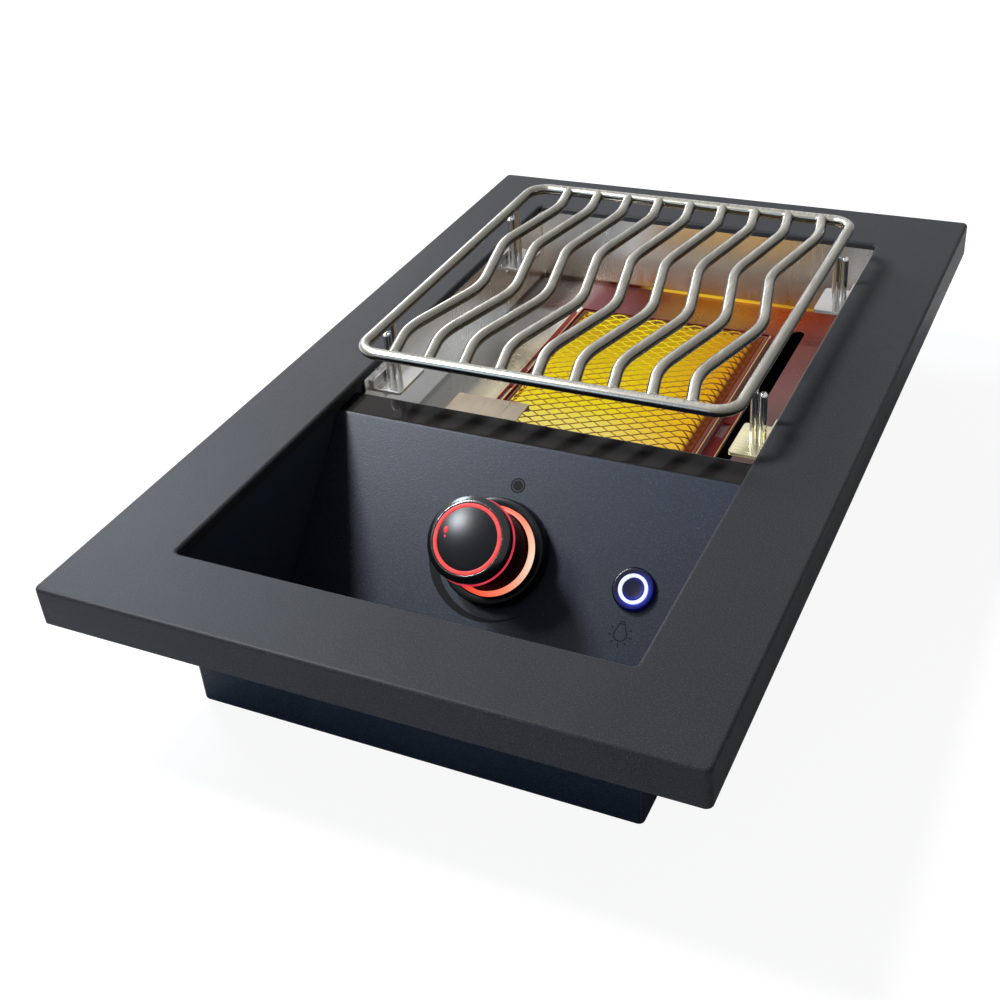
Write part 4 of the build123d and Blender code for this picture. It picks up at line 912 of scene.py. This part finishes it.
def makeGridBars(v):
    z, middle = v["height"], (v["front"] + v["back"]) / 2
    pieces = []
    for number in range(v["bars"]):
        x = (number - (v["bars"] - 1) / 2) * v["pitch"]
        front, back = x + v["frontShift"], x + v["backShift"]
        points = [(front, v["front"] + v["barInset"], z)]
        points += [(x + aside, middle + y, z) for y, aside in v["waves"]]
        points.append((back, v["back"] - v["barInset"], z))
        pieces.append(rod("gridBar", roundedPath(points, v["bend"]), v["barRod"]))
        for end, y in ((front, v["front"] + v["beadInset"]), (back, v["back"] - v["beadInset"])):
            pieces.append(smooth(bead((end, y, z), v["bead"]), 60))  # weld
    bars = joinInto(pieces[0], pieces[1:])
    bars.name = "gridBars"
    return bars


carry(makeGridFrame(grid), "grid", rodSteel, "rod_steel", "grid_frame")
carry(makeGridBars(grid), "grid", rodSteel, "rod_steel", "grid_bars")
print("stage: grid")

# burner screen: expanded sheet, slit strands pulled into diamonds and pressed into a shallow lid

screen = {"width": 115.0, "front": -17.5, "back": 152.0, "top": 49.6, "foot": 42.4, "bend": 7.5, "long": 12.6,
          "row": 3.45, "firstRow": 0.6, "flat": 0.8, "steps": 4, "thick": 0.4, "strand": 1.7, "lean": 50.0}


def lidHeight(x, y, v):  # flat middle, edges rolled down
    drop = 0.0
    for inside in (v["width"] / 2 - abs(x), y - v["front"], v["back"] - y):
        over = min(max(v["bend"] - inside, 0.0), v["bend"] * 0.999)
        drop += v["bend"] - math.sqrt(v["bend"] ** 2 - over ** 2)
    return max(v["top"] - drop, v["foot"])


def strand(number, v):
    path = []
    swing = v["row"] / 2 * (1 if number % 2 else -1)
    y0 = v["front"] + v["firstRow"] + number * v["row"]
    count = int(v["width"] / (v["long"] / 2)) * v["steps"]
    for step in range(count + 1):
        x = -v["width"] / 2 + step * v["width"] / count
        turn = (x / (v["long"] / 2)) % 2.0
        rise = 1.0 - 2.0 * abs(turn - 1.0)
        rise = max(-v["flat"], min(v["flat"], rise)) / v["flat"]  # short flats where two strands meet
        y = min(max(y0 + swing * rise, v["front"]), v["back"])
        path.append((x, y, lidHeight(x, y, v)))
    data = lineCurve("strand", [path], False)
    data.twist_mode = "Z_UP"
    data.extrude = v["strand"] / 2 * mm
    data.bevel_depth = v["thick"] / 2 * mm
    data.bevel_resolution = 1
    data.use_fill_caps = True
    for point in data.splines[0].points:
        point.tilt = math.radians(v["lean"])
    return addObject("strand", data)


def makeScreen(v):
    rows = int((v["back"] - v["front"]) / v["row"]) + 1
    strands = [strand(number, v) for number in range(rows)]
    clearSelection()
    for piece in strands:
        piece.select_set(True)
    bpy.context.view_layer.objects.active = strands[0]
    bpy.ops.object.convert(target="MESH")
    bpy.ops.object.join()
    piece = bpy.context.object
    piece.name = "screenStrands"
    return smooth(piece, 30)


carry(makeScreen(screen), "base", strandSteel, "screen_steel", "burner_screen")
print("stage: screen")

# printed signs on the panel and the pointer on the knob

marks = {
    "height": 0.04, "thick": 0.03,
    "off": {"at": (-1.4, 21.7), "radii": (4.0, 3.2, 2.7)},  # a dot in a ring
    "level": {"span": (172.0, 303.0), "outer": (36.2, (-1.4, 0.4)), "inner": (34.6, (2.0, 1.0)), "steps": 60},
    "bulb": {"at": (70.0, 83.4), "scale": 0.85, "glass": (4.2, 3.6), "span": (-50.0, 230.0), "steps": 40,
             "foot": [(-2.6, -3.2, -1.8, -5.6, 0.6), (2.6, -3.2, 1.8, -5.6, 0.6),
                      (-1.9, -6.1, 1.9, -6.1, 0.7), (-1.5, -7.3, 1.5, -7.3, 0.7)],
             "rays": 7, "firstRay": -30.0, "rayStep": 40.0, "rayReach": (5.4, 7.4), "rayWidth": 0.6},
}


def printed(name, outline, across, down):  # a flat outline, filled, thickened and laid on the slope
    data = lineCurve(name, [[(x, y, 0.0) for x, y in loop] for loop in outline], True, "2D")
    data.fill_mode = "BOTH"
    data.extrude = marks["thick"] / 2 * mm
    return layOnPanel(curveToMesh(name, data), across, down, marks["height"])


def circle(radius, count=48, centre=(0.0, 0.0), start=0.0, end=360.0):
    whole = abs(end - start) >= 360.0
    steps = count if whole else count + 1
    span = math.radians(end - start)
    turns = [math.radians(start) + span * i / count for i in range(steps)]
    return [(centre[0] + radius * math.cos(a), centre[1] + radius * math.sin(a)) for a in turns]


def bar(x0, y0, x1, y1, width):
    dx, dy = x1 - x0, y1 - y0
    size = math.hypot(dx, dy)
    nx, ny = -dy / size * width / 2, dx / size * width / 2
    return [(x0 + nx, y0 + ny), (x1 + nx, y1 + ny), (x1 - nx, y1 - ny), (x0 - nx, y0 - ny)]


def makeOffSign(v):
    return printed("offSign", [circle(radius) for radius in v["radii"]], *v["at"])


def makeLevelSign(v):  # a crescent beside the knob, widest at the lower left
    start, end = v["span"]
    (outer, outerMiddle), (inner, innerMiddle) = v["outer"], v["inner"]
    crescent = circle(outer, v["steps"], outerMiddle, start, end)
    crescent += circle(inner, v["steps"], innerMiddle, end, start)
    return printed("levelSign", [crescent], knob["across"], knob["down"])


def makeLampSign(v):
    start, end = v["span"]
    outer, inner = v["glass"]
    middle = (0.0, 0.0)
    lines = [circle(outer, v["steps"], middle, start, end) + circle(inner, v["steps"], middle, end, start)]
    lines += [bar(*line) for line in v["foot"]]
    near, far = v["rayReach"]
    for ray in range(v["rays"]):
        a = math.radians(v["firstRay"] + ray * v["rayStep"])
        c, s = math.cos(a), math.sin(a)
        lines.append(bar(near * c, near * s, far * c, far * s, v["rayWidth"]))
    turnOver = -v["scale"]  # the bulb hangs, its base up the slope
    return printed("lampSign", [[(x * turnOver, y * turnOver) for x, y in loop] for loop in lines], *v["at"])


carry(makeOffSign(marks["off"]), "base", markPaint, "panel_coat")
carry(makeLevelSign(marks["level"]), "base", markPaint, "panel_coat")
carry(makeLampSign(marks["bulb"]), "base", faintPaint, "panel_coat")

pointer = {"at": (-11.2, 2.4), "rise": 0.306, "sink": 0.12,
           "beads": [(1.7, 0.0, 0.0), (1.054, -0.25, -1.1), (0.75, 0.1, -3.4)]}  # radius and place of each


def domeHeight(x, y):
    (rimRadius, rimHeight), _, (_, topHeight) = knob["faceDome"]
    return topHeight - (topHeight - rimHeight) * (math.hypot(x, y) / rimRadius) ** 2


def makePointer(v):  # a drop over a dot, lit red
    parts = []
    for radius, dx, dy in v["beads"]:
        x, y = v["at"][0] + dx, v["at"][1] + dy
        parts.append(bead((x, y, domeHeight(x, y) - v["sink"]), (radius, radius, v["rise"])))
    piece = joinInto(parts[0], parts[1:])
    piece.name = "knobPointer"
    return smooth(layOnPanel(piece, knob["across"], knob["down"]), 60)


carry(makePointer(pointer), "knob", pointerLight, "light_red")
print("stage: signs")

# plain finishes on the nodes that stay as they are

plainNodes = [
    (pegSteel, ["grid_legs", "grid_pegs"]),
    (bracketSteel, ["liner_rivets", "burner_screws"]),
    (plainSteel, ["panel_screws", "venturi_tube", "air_shutter", "valve_stem", "stem_washer", "valve_screws",
                  "electrode_wire", "switch_nut"]),
    (brassFinish, ["orifice", "inlet_fitting", "inlet_nut"]),
    (alloyFinish, ["gas_valve", "gas_tube"]),
    (gasketFibre, ["tile_gasket"]),
    (porcelain, ["electrode_insulator"]),
    (casePlastic, ["ignition_module", "light_driver"]),
    (leadSheath, ["ignition_lead", "switch_lead"]),
    (boardGreen, ["lamp_board"]),
    (tileGlow, ["ceramic_tiles"]),
]
for finish, nodes in plainNodes:
    for node in nodes:
        cad[node].data.materials.clear()
        cad[node].data.materials.append(finish)
print("stage: finishes given out")
